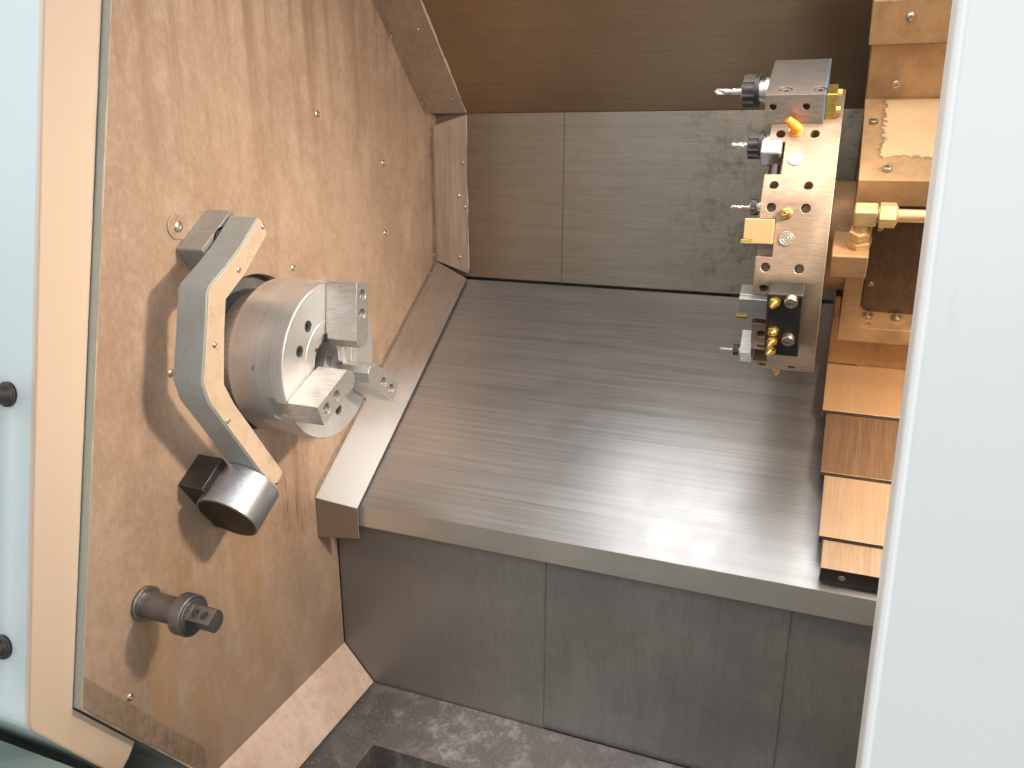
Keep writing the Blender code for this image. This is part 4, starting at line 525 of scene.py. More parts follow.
# %% Finish of a brushed sheet
def brushed(name, light, dark, grain=(0.02, 1, 1), stain=(0.2, 0.14, 0.09), stained=0.4, metal=0.75, rough=0.36,
            drips=0.0, specks=0.0, ends=None, edge=(0.55, 0.48, 0.40), fine=420.0, front=None, ahead=-UP, seam_and_shade=None,
            relief=0.16):
    sheet = Finish(name, Metallic=metal)
    lines = sheet.cloud(fine, 3.0, 0.6, grain, 1.0)
    broad = sheet.cloud(fine / 5, 5.0, 0.65, grain, 6.0)
    patches = sheet.rise(sheet.cloud(4.2, 6.0, 0.6, (1, 1, 1), 9.3), 0.36, 0.68)
    colour = sheet.mix(sheet.rise(lines * 0.6 + broad * 0.4, 0.30, 0.70), dark, light)
    colour = sheet.mix(patches * stained, colour, stain)
    if ends:
        axis, low, high, tint = ends
        colour = sheet.mix(sheet.rise(sheet.along(axis) + patches * 0.04, low, high), colour, tint)
    if drips:
        runs = sheet.rise(sheet.cloud(26.0, 6.0, 0.65, (1, 1, 0.07), 2.6), 0.48, 0.74)
        colour = sheet.mix(runs * drips, colour, (0.30, 0.255, 0.215))
    if specks:
        colour = sheet.mix(sheet.dots(90.0, 0.09, (0.5, 1, 1), 3.0) * specks, colour, (0.03, 0.024, 0.02))
        colour = sheet.mix(sheet.dots(55.0, 0.035, (1, 1, 1), 7.7) * specks, colour, (0.75, 0.66, 0.55))
    # Faces that look along ahead take the front colour; on the way covers that colour is painted shade.
    if front:
        colour = sheet.mix(sheet.facing(ahead), colour, front)
    if seam_and_shade:
        x = sheet.along(X)
        colour = sheet.mix(sheet.between(x, seam_and_shade - 0.0012, seam_and_shade + 0.0012, 0.0006) * 0.6, colour, (0.05, 0.035, 0.025))
        # Near black towards the turret is painted shade behind the carriage, broken up by noise; the next line makes
        # it darker towards the bulkhead.
        painted_shade = sheet.rise(x + patches * 0.12, 0.34, 0.66) * sheet.rise(sheet.cloud(30.0, 7.0, 0.8), 0.46, 0.62)
        colour = sheet.mix(painted_shade * 0.55, colour, (0.075, 0.062, 0.048))
        colour = sheet.mix(sheet.rise(x, 0.10, -0.08) * 0.45, colour, (0.12, 0.07, 0.04))
    colour = sheet.mix(sheet.edges(0.0022) * 0.7, colour, edge)
    gloss = rough + lines * 0.16 - 0.08 + patches * 0.10
    return sheet.finish(colour, lines * 0.6 + broad * 0.4, relief, 0.0006, True, Roughness=gloss)


ACROSS = (0.03, 1, 1)
UPRIGHT = (1, 1, 0.03)
dress(brushed("upper_panel_steel", (0.36, 0.25, 0.15), (0.29, 0.195, 0.115), ACROSS, drips=0.12, specks=0.5),
      "upper_panel")
dress(brushed("back_panel_steel", (0.31, 0.275, 0.22), (0.235, 0.205, 0.165), ACROSS, stained=0.3, specks=0.25,
              seam_and_shade=0.166), "back_panel")
dress(brushed("cover_steel", (0.48, 0.49, 0.505), (0.34, 0.35, 0.365), (0.012, 1, 1), (0.27, 0.28, 0.29), 0.25, 0.85,
              0.31, fine=300.0, front=(0.80, 0.74, 0.68), ahead=-Y, relief=0.04), "bed_cover")
dress(brushed("skirt_steel", (0.44, 0.42, 0.395), (0.34, 0.325, 0.30), (1, 1, 0.10), (0.21, 0.195, 0.175), 0.5, 0.5,
              0.40, drips=0.15, fine=300.0, ends=(X, 0.34, -0.14, (0.20, 0.18, 0.165)), edge=(0.05, 0.045, 0.04)),
      "skirt_left", "skirt_middle", "skirt_right")
dress(brushed("deflector_steel", (0.46, 0.34, 0.25), (0.30, 0.21, 0.145), UPRIGHT, stained=0.35, metal=0.5, rough=0.4,
              specks=0.3), "trim_upper", "trim_back")
# The bed deflector's pale low end (ends) is painted light.
dress(brushed("bed_deflector_steel", (0.36, 0.28, 0.225), (0.27, 0.205, 0.16), (1, 0.1, 0.1), stained=0.2, metal=0.5,
              rough=0.38, specks=0.3, ends=(-Z, 0.10, 0.28, (0.66, 0.65, 0.64)), front=(0.23, 0.165, 0.12), ahead=-Y),
      "trim_bed")
dress(film("pan_deflector_film", (0.74, 0.565, 0.465), (0.60, 0.43, 0.34), (0.52, 0.42, 0.35), 0.4, 0.2, 0.45, False),
      "trim_pan")
print("sheets dressed")

# %% [markdown]
# ## Paint
# The outside is thick two-part paint: faintly mottled, a little orange peel, chipped to grey along
# edges and dusty near the floor. The door's end carries painted warm light from the chamber's lamp,
# so that finish blends two colours by place. The bend at the fixed panel's end carries a painted highlight in the
# same way.


# %% Finish of painted steel
def painted(name, colour, shade, chip=(0.30, 0.31, 0.30), rough=0.34, dusty=0.25, tint=None):
    coat = Finish(name, Coat_Weight=0.15, Coat_Roughness=0.2)
    cloudy = coat.cloud(2.2, 6.0, 0.6)
    peel = coat.cloud(420.0, 2.0, 0.5)
    tone = coat.mix(cloudy, colour, shade)
    worn = coat.edges(0.003) * coat.rise(coat.cloud(120.0, 5.0, 0.7, (1, 1, 1), 2.0), 0.47, 0.60)
    # tint paints light by place: warm light on the door's end, a highlight on the panel's bend
    if tint:
        axis, low, high, hue = tint
        painted_light = coat.rise(coat.along(axis) + cloudy * 0.004, low, high)
        tone = coat.mix(painted_light, tone, hue)
        worn = worn * (1 - painted_light)
    dust = coat.rise(coat.along(Z) + cloudy * 0.25, -0.55, -1.05)
    tone = coat.mix(dust * dusty, tone, (0.36, 0.34, 0.31))
    marks = coat.rise(coat.cloud(38.0, 7.0, 0.7, (1, 1, 0.3), 5.0), 0.62, 0.74)
    tone = coat.mix(marks * 0.16, tone, (0.34, 0.31, 0.27))
    tone = coat.mix(worn, tone, chip)
    return coat.finish(tone, peel * 0.6 + cloudy * 0.4, 0.05, 0.0006, True, Roughness=rough + cloudy * 0.12)


dress(painted("base_paint", (0.20, 0.25, 0.225), (0.155, 0.20, 0.178), (0.38, 0.40, 0.38)), "base")
dress(painted("cream_paint", (0.70, 0.70, 0.66), (0.62, 0.62, 0.58)), "front_head_panel", "front_left_panel",
      "left_end_cover", "right_end_cover", "roof", "rear_cover", "door_rail", "right_wall")
# The peach tint on the door's end is painted warm light from the chamber.
dress(painted("door_paint", (0.66, 0.735, 0.72), (0.60, 0.67, 0.655), tint=(X, -0.168, -0.162, (0.67, 0.51, 0.38))),
      "door_panel")
# The near white on the panel's end bend is a painted highlight.
panel_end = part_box("front_right_panel")[0].x - HOME.x
dress(painted("panel_paint", (0.735, 0.755, 0.72), (0.69, 0.71, 0.675), tint=(-X, -panel_end - 0.006,
              -panel_end - 0.003, (0.93, 0.93, 0.89))), "front_right_panel")
dress(painted("control_paint", (0.30, 0.32, 0.335), (0.26, 0.275, 0.29), (0.12, 0.12, 0.12), 0.42), "control_panel")
print("paint dressed")

# %% [markdown]
# ## Castings and dark pieces
# The carriage, turret housing and its cover are castings under a tan coolant film. Bed and motor are
# grey iron, hardware is blackened steel. These share one recipe: a rough ground, clouds of dirt and
# bright worn edges.


# %% Finish of a casting
def casting(name, light, dark, dirt=(0.12, 0.075, 0.04), dirty=0.5, metal=0.3, rough=0.5, edge=(0.62, 0.5, 0.36),
            coarse=1.0, depth=0.0012):
    iron = Finish(name, Metallic=metal)
    ground = iron.cloud(240.0 * coarse, 6.0, 0.7)
    patches = iron.rise(iron.cloud(13.0, 7.0, 0.65, (1, 1, 1), 4.4), 0.40, 0.68)
    smear = iron.rise(iron.cloud(40.0, 6.0, 0.7, (1, 0.3, 0.3), 2.2), 0.46, 0.70)
    colour = iron.mix(ground, light, dark)
    colour = iron.mix(patches * dirty, colour, dirt)
    colour = iron.mix(smear * 0.25, colour, light)
    colour = iron.mix(iron.dots(120.0, 0.10, (1, 1, 1), 1.0) * 0.6, colour, dirt)
    colour = iron.mix(iron.edges(0.0022) * 0.65, colour, edge)
    return iron.finish(colour, ground * 0.7 + patches * 0.3, 0.3, depth, True, Roughness=rough + patches * 0.15)


TAN = casting("tan_casting", (0.50, 0.31, 0.16), (0.36, 0.215, 0.10))
dress(TAN, "cross_slide", "saddle")


# %% [markdown]
# Once the housing was painted cream. Coolant has lifted that paint except for a patch on the top with
# a flaked border. A mask painted by hand would suit this one shape; limits that noise pushes to and
# fro give a ragged border as well, and three numbers move it.


# %% Where old paint is left on the turret housing
def peeling(name, x0, a0, a1, paint=(0.66, 0.45, 0.25)):
    """The tan casting with a patch of pale paint whose edge has flaked."""
    old = Finish(name, casting(name, (0.52, 0.32, 0.16), (0.37, 0.215, 0.10)))
    ragged = old.cloud(55.0, 7.0, 0.75) * 0.050 - 0.025
    up = old.along(UP)
    side = old.rise(old.along(X) + ragged, x0 - 0.001, x0 + 0.001)
    low = old.rise(up + ragged, a0 - 0.001, a0 + 0.001)
    high = old.rise(up, a1 + 0.001, a1 - 0.001)
    patch = side * low * high * old.facing(OFF)
    rim = old.rise(old.along(X) + ragged, x0 - 0.006, x0 - 0.004) * old.rise(up + ragged, a0 - 0.006, a0 - 0.004)
    rim = rim * high * old.facing(OFF) * (1 - patch)
    under = Value(old, old.shader.inputs["Base Color"].links[0].from_socket)
    tone = old.mix(rim * 0.75, under, (0.20, 0.12, 0.065))
    tone = old.mix(patch * (0.94 - old.dots(60.0, 0.10) * 0.6), tone, paint)
    old.feed(old.shader, {"Base Color": tone})
    return old.material


dress(peeling("peeling_housing", 0.786, 0.362, 0.525), "turret_housing")
dress(peeling("peeling_cover", 0.772, 0.500, 0.640, (0.54, 0.36, 0.20)), "turret_motor_cover")
IRON = casting("grey_iron", (0.24, 0.25, 0.25), (0.15, 0.155, 0.16), (0.06, 0.06, 0.06), 0.4, 0.2, 0.55,
               (0.40, 0.40, 0.39))
dress(IRON, "bed", "headstock", "spindle_motor")
BLACK = casting("blackened_steel", (0.055, 0.050, 0.048), (0.028, 0.026, 0.026), (0.09, 0.075, 0.06), 0.3, 0.6, 0.38,
                (0.30, 0.26, 0.22), 2.0, 0.0005)
dress(BLACK, "setter_bracket", "wall_stub", "drill_holder", "tool_block", "collet_chuck_small")

# %% [markdown]
# ## Pan and way covers
# The pan is raw sheet under scale, dried scum and scattered specks, wet and dark at its left. The way
# covers are spring steel sheets that slide over each other, so each is brushed along the slope, with
# painted shade on its front fold. They reuse the brushed sheet; only the pan gets layers of its own.

# %% The chip pan and the way covers
pan = Finish("pan_steel", Metallic=0.4)
scale_marks = pan.cloud(300.0, 5.0, 0.75)
scum = pan.rise(pan.cloud(26.0, 8.0, 0.75, (1, 1, 1), 3.3), 0.47, 0.66)
smear = pan.rise(pan.cloud(8.0, 5.0, 0.6, (1, 1, 1), 8.8), 0.40, 0.62)
tone = pan.mix(scale_marks, (0.34, 0.315, 0.31), (0.20, 0.185, 0.18))
tone = pan.mix(scum * 0.55, tone, (0.62, 0.57, 0.56))
tone = pan.mix(pan.rise(pan.along(X) + scum * 0.05, 0.22, -0.06) * 0.75, tone, (0.085, 0.08, 0.078))
tone = pan.mix(smear * 0.35, tone, (0.22, 0.20, 0.19))
tone = pan.mix(pan.dots(160.0, 0.16, (1, 1, 1), 2.0) * 0.8, tone, (0.75, 0.68, 0.62))
tone = pan.mix(pan.edges(0.003) * 0.6, tone, (0.55, 0.50, 0.46))
dress(pan.finish(tone, scale_marks * 0.5 + scum * 0.5, 0.25, 0.001, True, Roughness=0.42 + scum * 0.25), "chip_pan")
# The near black front colour of each cover is painted shade on its front fold.
ALONG = (1, 0.03, 0.03)
plain = brushed("cover_sheet_plain", (0.66, 0.425, 0.245), (0.60, 0.375, 0.205), ALONG, (0.50, 0.31, 0.16), 0.3, 0.4,
                0.40, fine=330.0, edge=(0.85, 0.66, 0.45), front=(0.10, 0.055, 0.03))
lined = brushed("cover_sheet_brown", (0.40, 0.265, 0.17), (0.25, 0.15, 0.09), ALONG, (0.24, 0.14, 0.075), 0.45, 0.55,
                0.36, fine=420.0, edge=(0.85, 0.66, 0.45), front=(0.08, 0.05, 0.03))
pale = brushed("cover_sheet_pale", (0.76, 0.54, 0.37), (0.62, 0.42, 0.265), ALONG, (0.46, 0.30, 0.18), 0.35, 0.5,
               0.36, fine=420.0, edge=(0.90, 0.74, 0.54), front=(0.08, 0.05, 0.03))
last = brushed("cover_sheet_low", (0.70, 0.50, 0.34), (0.50, 0.335, 0.21), ALONG, (0.36, 0.23, 0.13), 0.45, 0.5,
               0.38, specks=0.5, fine=330.0, edge=(0.90, 0.74, 0.54), front=(0.05, 0.04, 0.03))
for number, sheet in enumerate((plain, lined, pale, last)):
    dress(sheet, f"way_cover_{number + 1}")
print("pan and covers dressed")


# %% [markdown]
# ## Machined steel
# Chuck, jaws, turret and tools were turned or ground. Turning marks are a noise read by radius and by
# length, grinding marks a noise stretched along x. Anisotropic gloss would show them too, but a fine
# relief survives in every viewer.


# %% Finish of machined steel
def machined(name, light=(0.66, 0.62, 0.57), dark=(0.46, 0.43, 0.39), centre=None, rough=0.24, metal=1.0,
             stain=(0.40, 0.30, 0.20), stained=0.25, edge=(0.80, 0.76, 0.70), band=None):
    steel = Finish(name, Metallic=metal)
    if centre is None:
        marks = steel.cloud(600.0, 3.0, 0.6, (0.1, 1, 1))
    else:
        side = steel.node("ShaderNodeVectorMath", {"operation": "SUBTRACT"}, {0: steel.place(), 1: centre})
        flat = steel.node("ShaderNodeVectorMath", {"operation": "MULTIPLY"}, {0: side, 1: (0, 1, 1)})
        radius = steel.node("ShaderNodeVectorMath", {"operation": "LENGTH"}, {0: flat}, out=1)
        turns = steel.node("ShaderNodeCombineXYZ", None, {0: steel.along(X), 1: radius})
        marks = steel.node("ShaderNodeTexNoise", None,
                           {"Vector": turns, "Scale": 900.0, "Detail": 3.0, "Roughness": 0.7})
    patches = steel.rise(steel.cloud(18.0, 6.0, 0.6), 0.42, 0.66)
    colour = steel.mix(steel.rise(marks, 0.3, 0.7), dark, light)
    colour = steel.mix(patches * stained, colour, stain)
    colour = steel.mix(steel.edges(0.0012) * 0.7, colour, edge)
    if band:
        low, high, tint = band
        colour = steel.mix(steel.between(steel.along(X), low, high, 0.0002), colour, tint)
    return steel.finish(colour, marks, 0.12, 0.0004, True, Roughness=rough + marks * 0.10 + patches * 0.10)


STEEL = machined("machined_steel", (0.68, 0.65, 0.61), (0.48, 0.455, 0.42), rough=0.28, metal=0.8)
CHUCK = machined("chuck_steel", (0.76, 0.75, 0.74), (0.58, 0.57, 0.56), (0, 0, 0), 0.30, 0.75)
TURRET = machined("turret_steel", (0.38, 0.285, 0.205), (0.29, 0.21, 0.15), None, 0.42, 0.6, (0.22, 0.15, 0.10), 0.4,
                  (0.66, 0.54, 0.42))
dress(STEEL, "jaw_1", "jaw_2", "jaw_3", "setter_drum", "collet_chuck_large", "small_drill_upper", "drill_block",
      "turning_tool_upper", "turning_tool_lower", "spindle", "chuck_cylinder", "door_handle", "handwheel")
dress(CHUCK, "chuck_body")
dress(TURRET, "turret_disc", "coolant_block")
HAMMERED = casting("hammered_paint", (0.36, 0.37, 0.34), (0.26, 0.265, 0.245), (0.20, 0.17, 0.13), 0.3, 0.1, 0.42,
                   (0.62, 0.56, 0.46), 0.8, 0.0016)
dress(HAMMERED, "setter_arm", "probe_park")
red = Finish("red_plastic", Roughness=0.35)
dress(red.finish(red.mix(red.cloud(60.0), (0.62, 0.02, 0.015), (0.45, 0.012, 0.01)), red.cloud(300.0), 0.05),
      "stop_button")
glass = Finish("door_glass", Roughness=0.04, Metallic=0.0, Coat_Weight=1.0, Coat_Roughness=0.03)
dress(glass.finish(glass.mix(glass.cloud(5.0, 5.0), (0.055, 0.065, 0.06), (0.09, 0.10, 0.09))), "door_window")
print("every solid dressed")

# %% [markdown]
# ## Fasteners
# Screws are small, yet they tell the eye the size of everything else. Each is a turned profile: a
# cap head with a chamfer and a hexagonal socket, a domed button head, a plain rivet, or a ringed
# plug. Many are joined into one piece per body, because they share a finish.


# %% Screws, rivets and plugs
def screw(place, axis, radius, height, kind="cap", sides=24):
    r, h = radius, height
    kinds = {
        "cap": [(0, 0), (0, r), (h * 0.85, r), (h, r * 0.9), (h, r * 0.50, "hex"), (h * 0.25, r * 0.50, "hex"),
                (h * 0.25, 0)],
        "button": [(0, 0), (0, r), (h * 0.35, r * 0.98), (h * 0.75, r * 0.8), (h, r * 0.55), (h, r * 0.36, "hex"),
                   (h * 0.4, r * 0.36, "hex"), (h * 0.4, 0)],
        "rivet": [(0, 0), (0, r), (h * 0.5, r * 0.86), (h * 0.87, r * 0.5), (h, 0)],
        "plug": [(0, 0), (0, r), (h, r), (h, r * 0.82), (h * 0.55, r * 0.76), (h, r * 0.68), (h, r * 0.46),
                 (h * 0.5, r * 0.40), (h * 0.9, r * 0.32), (h * 0.9, r * 0.12), (0.2 * h, r * 0.12), (0.2 * h, 0)],
        "nut": [(0, 0), (0, r, "hex"), (h, r, "hex"), (h, r * 0.55), (h * 0.6, r * 0.5), (h * 0.6, 0)],
    }
    return turned(kinds[kind], place, axis, sides)


def hole(place, axis, radius, depth, sides=24):
    """A cutter that sinks into a surface from just outside it."""
    return turned([(-depth, 0), (-depth, radius), (0.004, radius), (0.004, 0)], place, axis, sides)


BRIGHT = machined("bright_screws", (0.60, 0.54, 0.46), (0.40, 0.35, 0.29), rough=0.3, stained=0.5)
BRASS = machined("brass", (0.80, 0.55, 0.17), (0.56, 0.36, 0.09), rough=0.26, stain=(0.35, 0.2, 0.06), stained=0.35,
                 edge=(0.95, 0.75, 0.35))

# %% [markdown]
# ## The chuck
# A power chuck is a turned steel drum with three T-slots. Turning leaves rings on the face and bands
# round the side, so its finish reads noise by radius and by length. The body is a fresh profile with
# the same slots as the solid; holes for the face screws are sunk with real socket screws in them.


# %% The chuck body
JAW_TURNS = [radians(83 + 120 * i) for i in range(3)]


def radial(turn):
    out = Vector((0, cos(turn), sin(turn)))
    return X, out, X.cross(out)


def t_bar(turn, inner, outer, top, room):
    along, out, side = radial(turn)
    stem, foot, neck, deep = 0.013 - room, 0.021 - room, -0.020 - room, -0.034 + room
    section = [(top, stem), (neck, stem), (neck, foot), (deep, foot), (deep, -foot), (neck, -foot), (neck, -stem),
               (top, -stem)]
    return prism([along * x + side * t + out * inner for x, t in section], out * (outer - inner))


body = turned([(-0.1, 0.033), (-0.1, 0.1255), (-0.0985, 0.127), (-0.0012, 0.127), (0, 0.1258), (0, 0.0715),
               (-0.0006, 0.0709), (-0.0006, 0.0699), (0, 0.0693), (0, 0.0605), (-0.0012, 0.0598), (-0.0012, 0.0480),
               (-0.006, 0.0472), (-0.006, 0.0375), (-0.0085, 0.037), (-0.0085, 0.033)], sides=144)
body = carve(body, joined(*[t_bar(turn, 0.02, 0.14, 0.01, 0) for turn in JAW_TURNS]))
face_spots = [radians(83 + 60 + 120 * i + side * 14) for i in range(3) for side in (-1, 1)]
sinks = [hole(radial(t)[1] * 0.087, X, 0.0095, 0.0085) for t in face_spots]
sinks += [hole(radial(t + radians(90.2))[1] * 0.127 - X * 0.0523, radial(t + radians(90.2))[1], 0.0035, 0.008)
          for t in JAW_TURNS]
body = carve(body, joined(*sinks))
piece("chuck_drum", body, CHUCK, "spindle_unit", ("chuck_body",))
screws = [screw(radial(t)[1] * 0.087 - X * 0.0083, X, 0.0080, 0.0065) for t in face_spots]
screws += [screw(radial(t + radians(60))[1] * 0.0425 - X * 0.0062, X, 0.0032, 0.003) for t in JAW_TURNS]
piece("chuck_screws", joined(*screws), BLACK, "spindle_unit")
print("chuck made")

# %% [markdown]
# ## The jaws
# Soft top jaws sit on base jaws in the T-slots, located by fine serrations. A prism with a narrowed
# nose gives the jaw, a zigzag strip under it gives the serrations, and two counterbores hold its
# screws. Each jaw is a piece of its own, because each slides.


# %% The jaws
def teeth(turn, inner, outer, low, high, half, step=0.0015):
    along, out, side = radial(turn)
    count = int((outer - inner) / step)
    points = [out * outer + along * low, out * inner + along * low]
    points += [out * (inner + i * step) + along * (high if i % 2 else high - 0.0009) for i in range(count + 1)]
    return prism([p - side * half for p in points], side * (2 * half))


for number, turn in enumerate(JAW_TURNS):
    along, out, side = radial(turn)
    shape = [(0.026, -0.006), (0.038, -0.018), (0.129, -0.018), (0.129, 0.018), (0.038, 0.018), (0.026, 0.006)]
    top = prism([out * r + side * t + along * 0.0042 for r, t in shape], along * 0.0528)
    spots = [out * 0.110 + along * 0.057, out * 0.080 + along * 0.057]
    top = carve(top, joined(*[hole(s, along, 0.0085, 0.014, 32) for s in spots]))
    name = f"jaw_{number + 1}"
    piece(f"{name}_top", top, STEEL, f"{name}_unit", (name,), 0.0007)
    base = joined(t_bar(turn, 0.048, 0.1222, 0.0005, 0.0003), teeth(turn, 0.046, 0.1235, 0.0006, 0.0048, 0.0165))
    piece(f"{name}_base", base, STEEL, f"{name}_unit")
    caps = [screw(s - along * 0.0139, along, 0.0078, 0.008) for s in spots]
    piece(f"{name}_screws", joined(*caps), BRIGHT, f"{name}_unit")
print("jaws made")

# %% [markdown]
# ## The tool setter
# The arm is a cast frame in hammered grey-green paint with a flat cover screwed on top, whose beige is
# partly film and partly painted warm light of the work lamp. Its outline is drawn once; the cover is the same
# outline moved inward. It swings on a steel drum whose axis leans, and parks its probe in a small sheet cover on the
# wall.


# %% The arm and its cover
ARM = [(-0.0937, 0.2346), (-0.0992, 0.2310), (-0.140, 0.196), (-0.172, 0.174), (-0.207, 0.153), (-0.2135, 0.144),
       (-0.224, 0.095), (-0.242, 0.024), (-0.234, -0.007), (-0.1202, -0.182), (-0.1125, -0.1905), (-0.090, -0.166),
       (-0.092, -0.161), (-0.183, -0.022), (-0.199, 0.0115), (-0.187, 0.0865), (-0.178, 0.128), (-0.134, 0.157),
       (-0.0816, 0.204), (-0.0774, 0.210), (-0.084, 0.225)]


def inset(points, distance):
    """The outline moved inward by a distance, corner by corner."""
    area = sum(a[0] * b[1] - b[0] * a[1] for a, b in zip(points, points[1:] + points[:1]))
    sign = 1 if area > 0 else -1
    moved = []
    for i, (u, v) in enumerate(points):
        before, after = Vector(points[i - 1]), Vector(points[(i + 1) % len(points)])
        one, two = (Vector((u, v)) - before).normalized(), (after - Vector((u, v))).normalized()
        n1, n2 = Vector((-one.y, one.x)), Vector((-two.y, two.x))
        step = (n1 + n2) / max(1 + n1.dot(n2), 0.35)
        moved.append((u + sign * distance * step.x, v + sign * distance * step.y))
    return moved


def slab(outline, x0, x1):
    return prism([Vector((x0, y, z)) for y, z in outline], X * (x1 - x0))


ARM_SCREWS = [(-0.0889, 0.2205), (-0.1483, 0.1654), (-0.2115, 0.0711), (-0.2020, -0.0423), (-0.1092, -0.1760)]
piece("arm_frame", slab(ARM, -0.094, -0.0438), HAMMERED, "setter", ("setter_arm",), 0.0016)
# The cover's beige is partly film and partly painted warm light of the work lamp.
cover = Finish("arm_cover_film_and_warm_light", Metallic=0.25)
worn = cover.rise(cover.cloud(30.0, 6.0, 0.65), 0.42, 0.68)
film_marks = cover.cloud(140.0, 4.0, 0.6, (1, 1, 0.3))
tone = cover.mix(worn, (0.66, 0.50, 0.355), (0.54, 0.40, 0.28))
tone = cover.mix(cover.dots(80.0, 0.07) * 0.5, tone, (0.2, 0.13, 0.08))
tone = cover.mix(cover.edges(0.002) * 0.8, tone, (0.86, 0.76, 0.62))
COVER = cover.finish(tone, worn * 0.5 + film_marks * 0.5, 0.12, 0.0005, Roughness=0.36 + worn * 0.14)
piece("arm_cover", slab(inset(ARM, 0.0026), -0.0438, -0.042), COVER, "setter", (), 0.0004)
heads = [screw(Vector((-0.042, y, z)), X, 0.0042, 0.0022, "button") for y, z in ARM_SCREWS]
probe_y, probe_z = (-0.140 - 0.0816) / 2, (0.196 + 0.204) / 2
piece("arm_screws", joined(*heads), BRIGHT, "setter")
boot = [(0, 0), (0, 0.0125), (0.003, 0.017), (0.006, 0.014), (0.009, 0.017), (0.012, 0.014), (0.015, 0.017),
        (0.018, 0.0125), (0.0215, 0.0125), (0.0258, 0.008), (0.0258, 0)]
RUBBER = casting("black_rubber", (0.03, 0.03, 0.03), (0.018, 0.018, 0.018), (0.08, 0.06, 0.045), 0.4, 0.0, 0.6,
                 (0.09, 0.085, 0.08), 1.5, 0.0004)
piece("probe_boot", turned(boot, Vector((-0.0941, probe_y, probe_z)), -X, 40), RUBBER, "setter")

# %% [markdown]
# The drum stands on a leaning axis, so it is one turned profile along that axis, with a near black disc in
# its lower end: painted shade. The probe's parking cover gets a thin plate with a round ear, screwed to the wall.

# %% The drum it swings on
SWING = Vector((-0.081, -0.150, -0.190))
SWING_AXIS = Vector((0, sin(radians(57)), cos(radians(57))))
# The drum's bluish cast is a painted cool reflection on its steel; the end disc's near black is painted shade.
DRUM = machined("drum_steel_painted_reflection", (0.52, 0.54, 0.58), (0.38, 0.395, 0.43), rough=0.38, stained=0.2)
DRUM_END_SHADE = machined("drum_end_painted_shade", (0.07, 0.062, 0.058), (0.045, 0.04, 0.038), rough=0.38,
                    stain=(0.09, 0.07, 0.05))
drum = turned([(-0.0380, 0), (-0.0380, 0.0488), (-0.0392, 0.0488), (-0.0392, 0.0496), (-0.0383, 0.0505),
               (0.0278, 0.0505), (0.02905, 0.0492), (0.02905, 0)], SWING, SWING_AXIS, 96)
piece("swing_drum", drum, DRUM, "setter", ("setter_drum",))
shaded_end = turned([(-0.0400, 0), (-0.0400, 0.0472), (-0.0394, 0.0480), (-0.0380, 0.0480), (-0.0380, 0)], SWING,
                  SWING_AXIS, 96)
piece("swing_drum_shaded_end", shaded_end, DRUM_END_SHADE, "setter")
PARK = brushed("park_steel", (0.42, 0.43, 0.42), (0.29, 0.295, 0.29), (1, 0.05, 0.05), (0.30, 0.24, 0.18), 0.4, 0.5,
               0.34, edge=(0.74, 0.68, 0.58))
dress(PARK, "probe_park")
WALL = -0.1449
ears = [(-0.1488 + 0.0185 * cos(a), 0.2220 + 0.0185 * sin(a)) for a in [radians(80 + 20 * i) for i in range(11)]]
ears += [(-0.105, 0.190), (-0.060, 0.222), (-0.058, 0.2345), (-0.099, 0.2425)]
PLATE_FILM = film("park_plate_film", (0.46, 0.33, 0.235), (0.33, 0.225, 0.15), (0.30, 0.22, 0.16), 0.4, 0.3, 0.42,
                  False)
piece("park_plate", slab(ears, WALL, WALL + 0.0024), PLATE_FILM, "machine_frame", (), 0.0005)
print("tool setter made")

# %% [markdown]
# A black shaft stands out of the wall, with a flange and two milled flats on its end. Milling is a
# Boolean with a slanted box. The flats are cut one after the other: cutters that overlap in one mesh
# can make the whole shape vanish.

# %% The flanged stub
stub_at = Vector((-0.1447, -0.297, -0.307))
stub = turned([(0, 0), (0, 0.026), (0.0035, 0.026), (0.0048, 0.0248), (0.0048, 0.0215), (0.0065, 0.0195),
               (0.0702, 0.0195), (0.0702, 0.0290), (0.0712, 0.030), (0.0885, 0.030), (0.0897, 0.0288),
               (0.0897, 0.0262), (0.0885, 0.0256), (0.0885, 0.0236), (0.0897, 0.0230), (0.0897, 0.0170),
               (0.1275, 0.0170), (0.1287, 0.0158), (0.1287, 0)], stub_at, X, 72)
flat = block((0.0899, -0.03, 0.0115), (0.14, 0.03, 0.03), (X, Vector((0, 0.86, 0.51)), Vector((0, -0.51, 0.86))),
             stub_at)
flat_2 = block((0.0899, -0.03, 0.0115), (0.14, 0.03, 0.03), (X, Vector((0, 0.51, -0.86)), Vector((0, -0.86, -0.51))),
               stub_at)
SHAFT = machined("shaft_steel", (0.17, 0.17, 0.175), (0.11, 0.11, 0.115), None, 0.36, 0.8, (0.25, 0.19, 0.14), 0.35,
                 (0.40, 0.36, 0.31))
piece("wall_shaft", carve(carve(stub, flat), flat_2), SHAFT, "machine_frame", ("wall_stub",), 0.0006)
top = Vector((0, -0.51, 0.86))
heads = [screw(stub_at + X * x + top * 0.0115, top, 0.0062, 0.0016, "button") for x in (0.101, 0.1165)]
ring = turned([(0, 0.0195), (0, 0.0262), (0.0012, 0.0262), (0.0012, 0.0195)], stub_at + X * 0.0048, X, 64)
piece("shaft_screws", joined(*heads), BLACK, "machine_frame")
piece("shaft_ring", ring, BRIGHT, "machine_frame")
print("wall pieces made")

# %% [markdown]
# ## Rivets, flanges and sealant
# The deflectors are riveted to the wall through a thin flange, and their free edges were sealed by
# hand. Flanges are strips a millimetre thick along the joint; the sealant is a bead whose radius
# wanders, so that it breaks off in places as old sealant does.

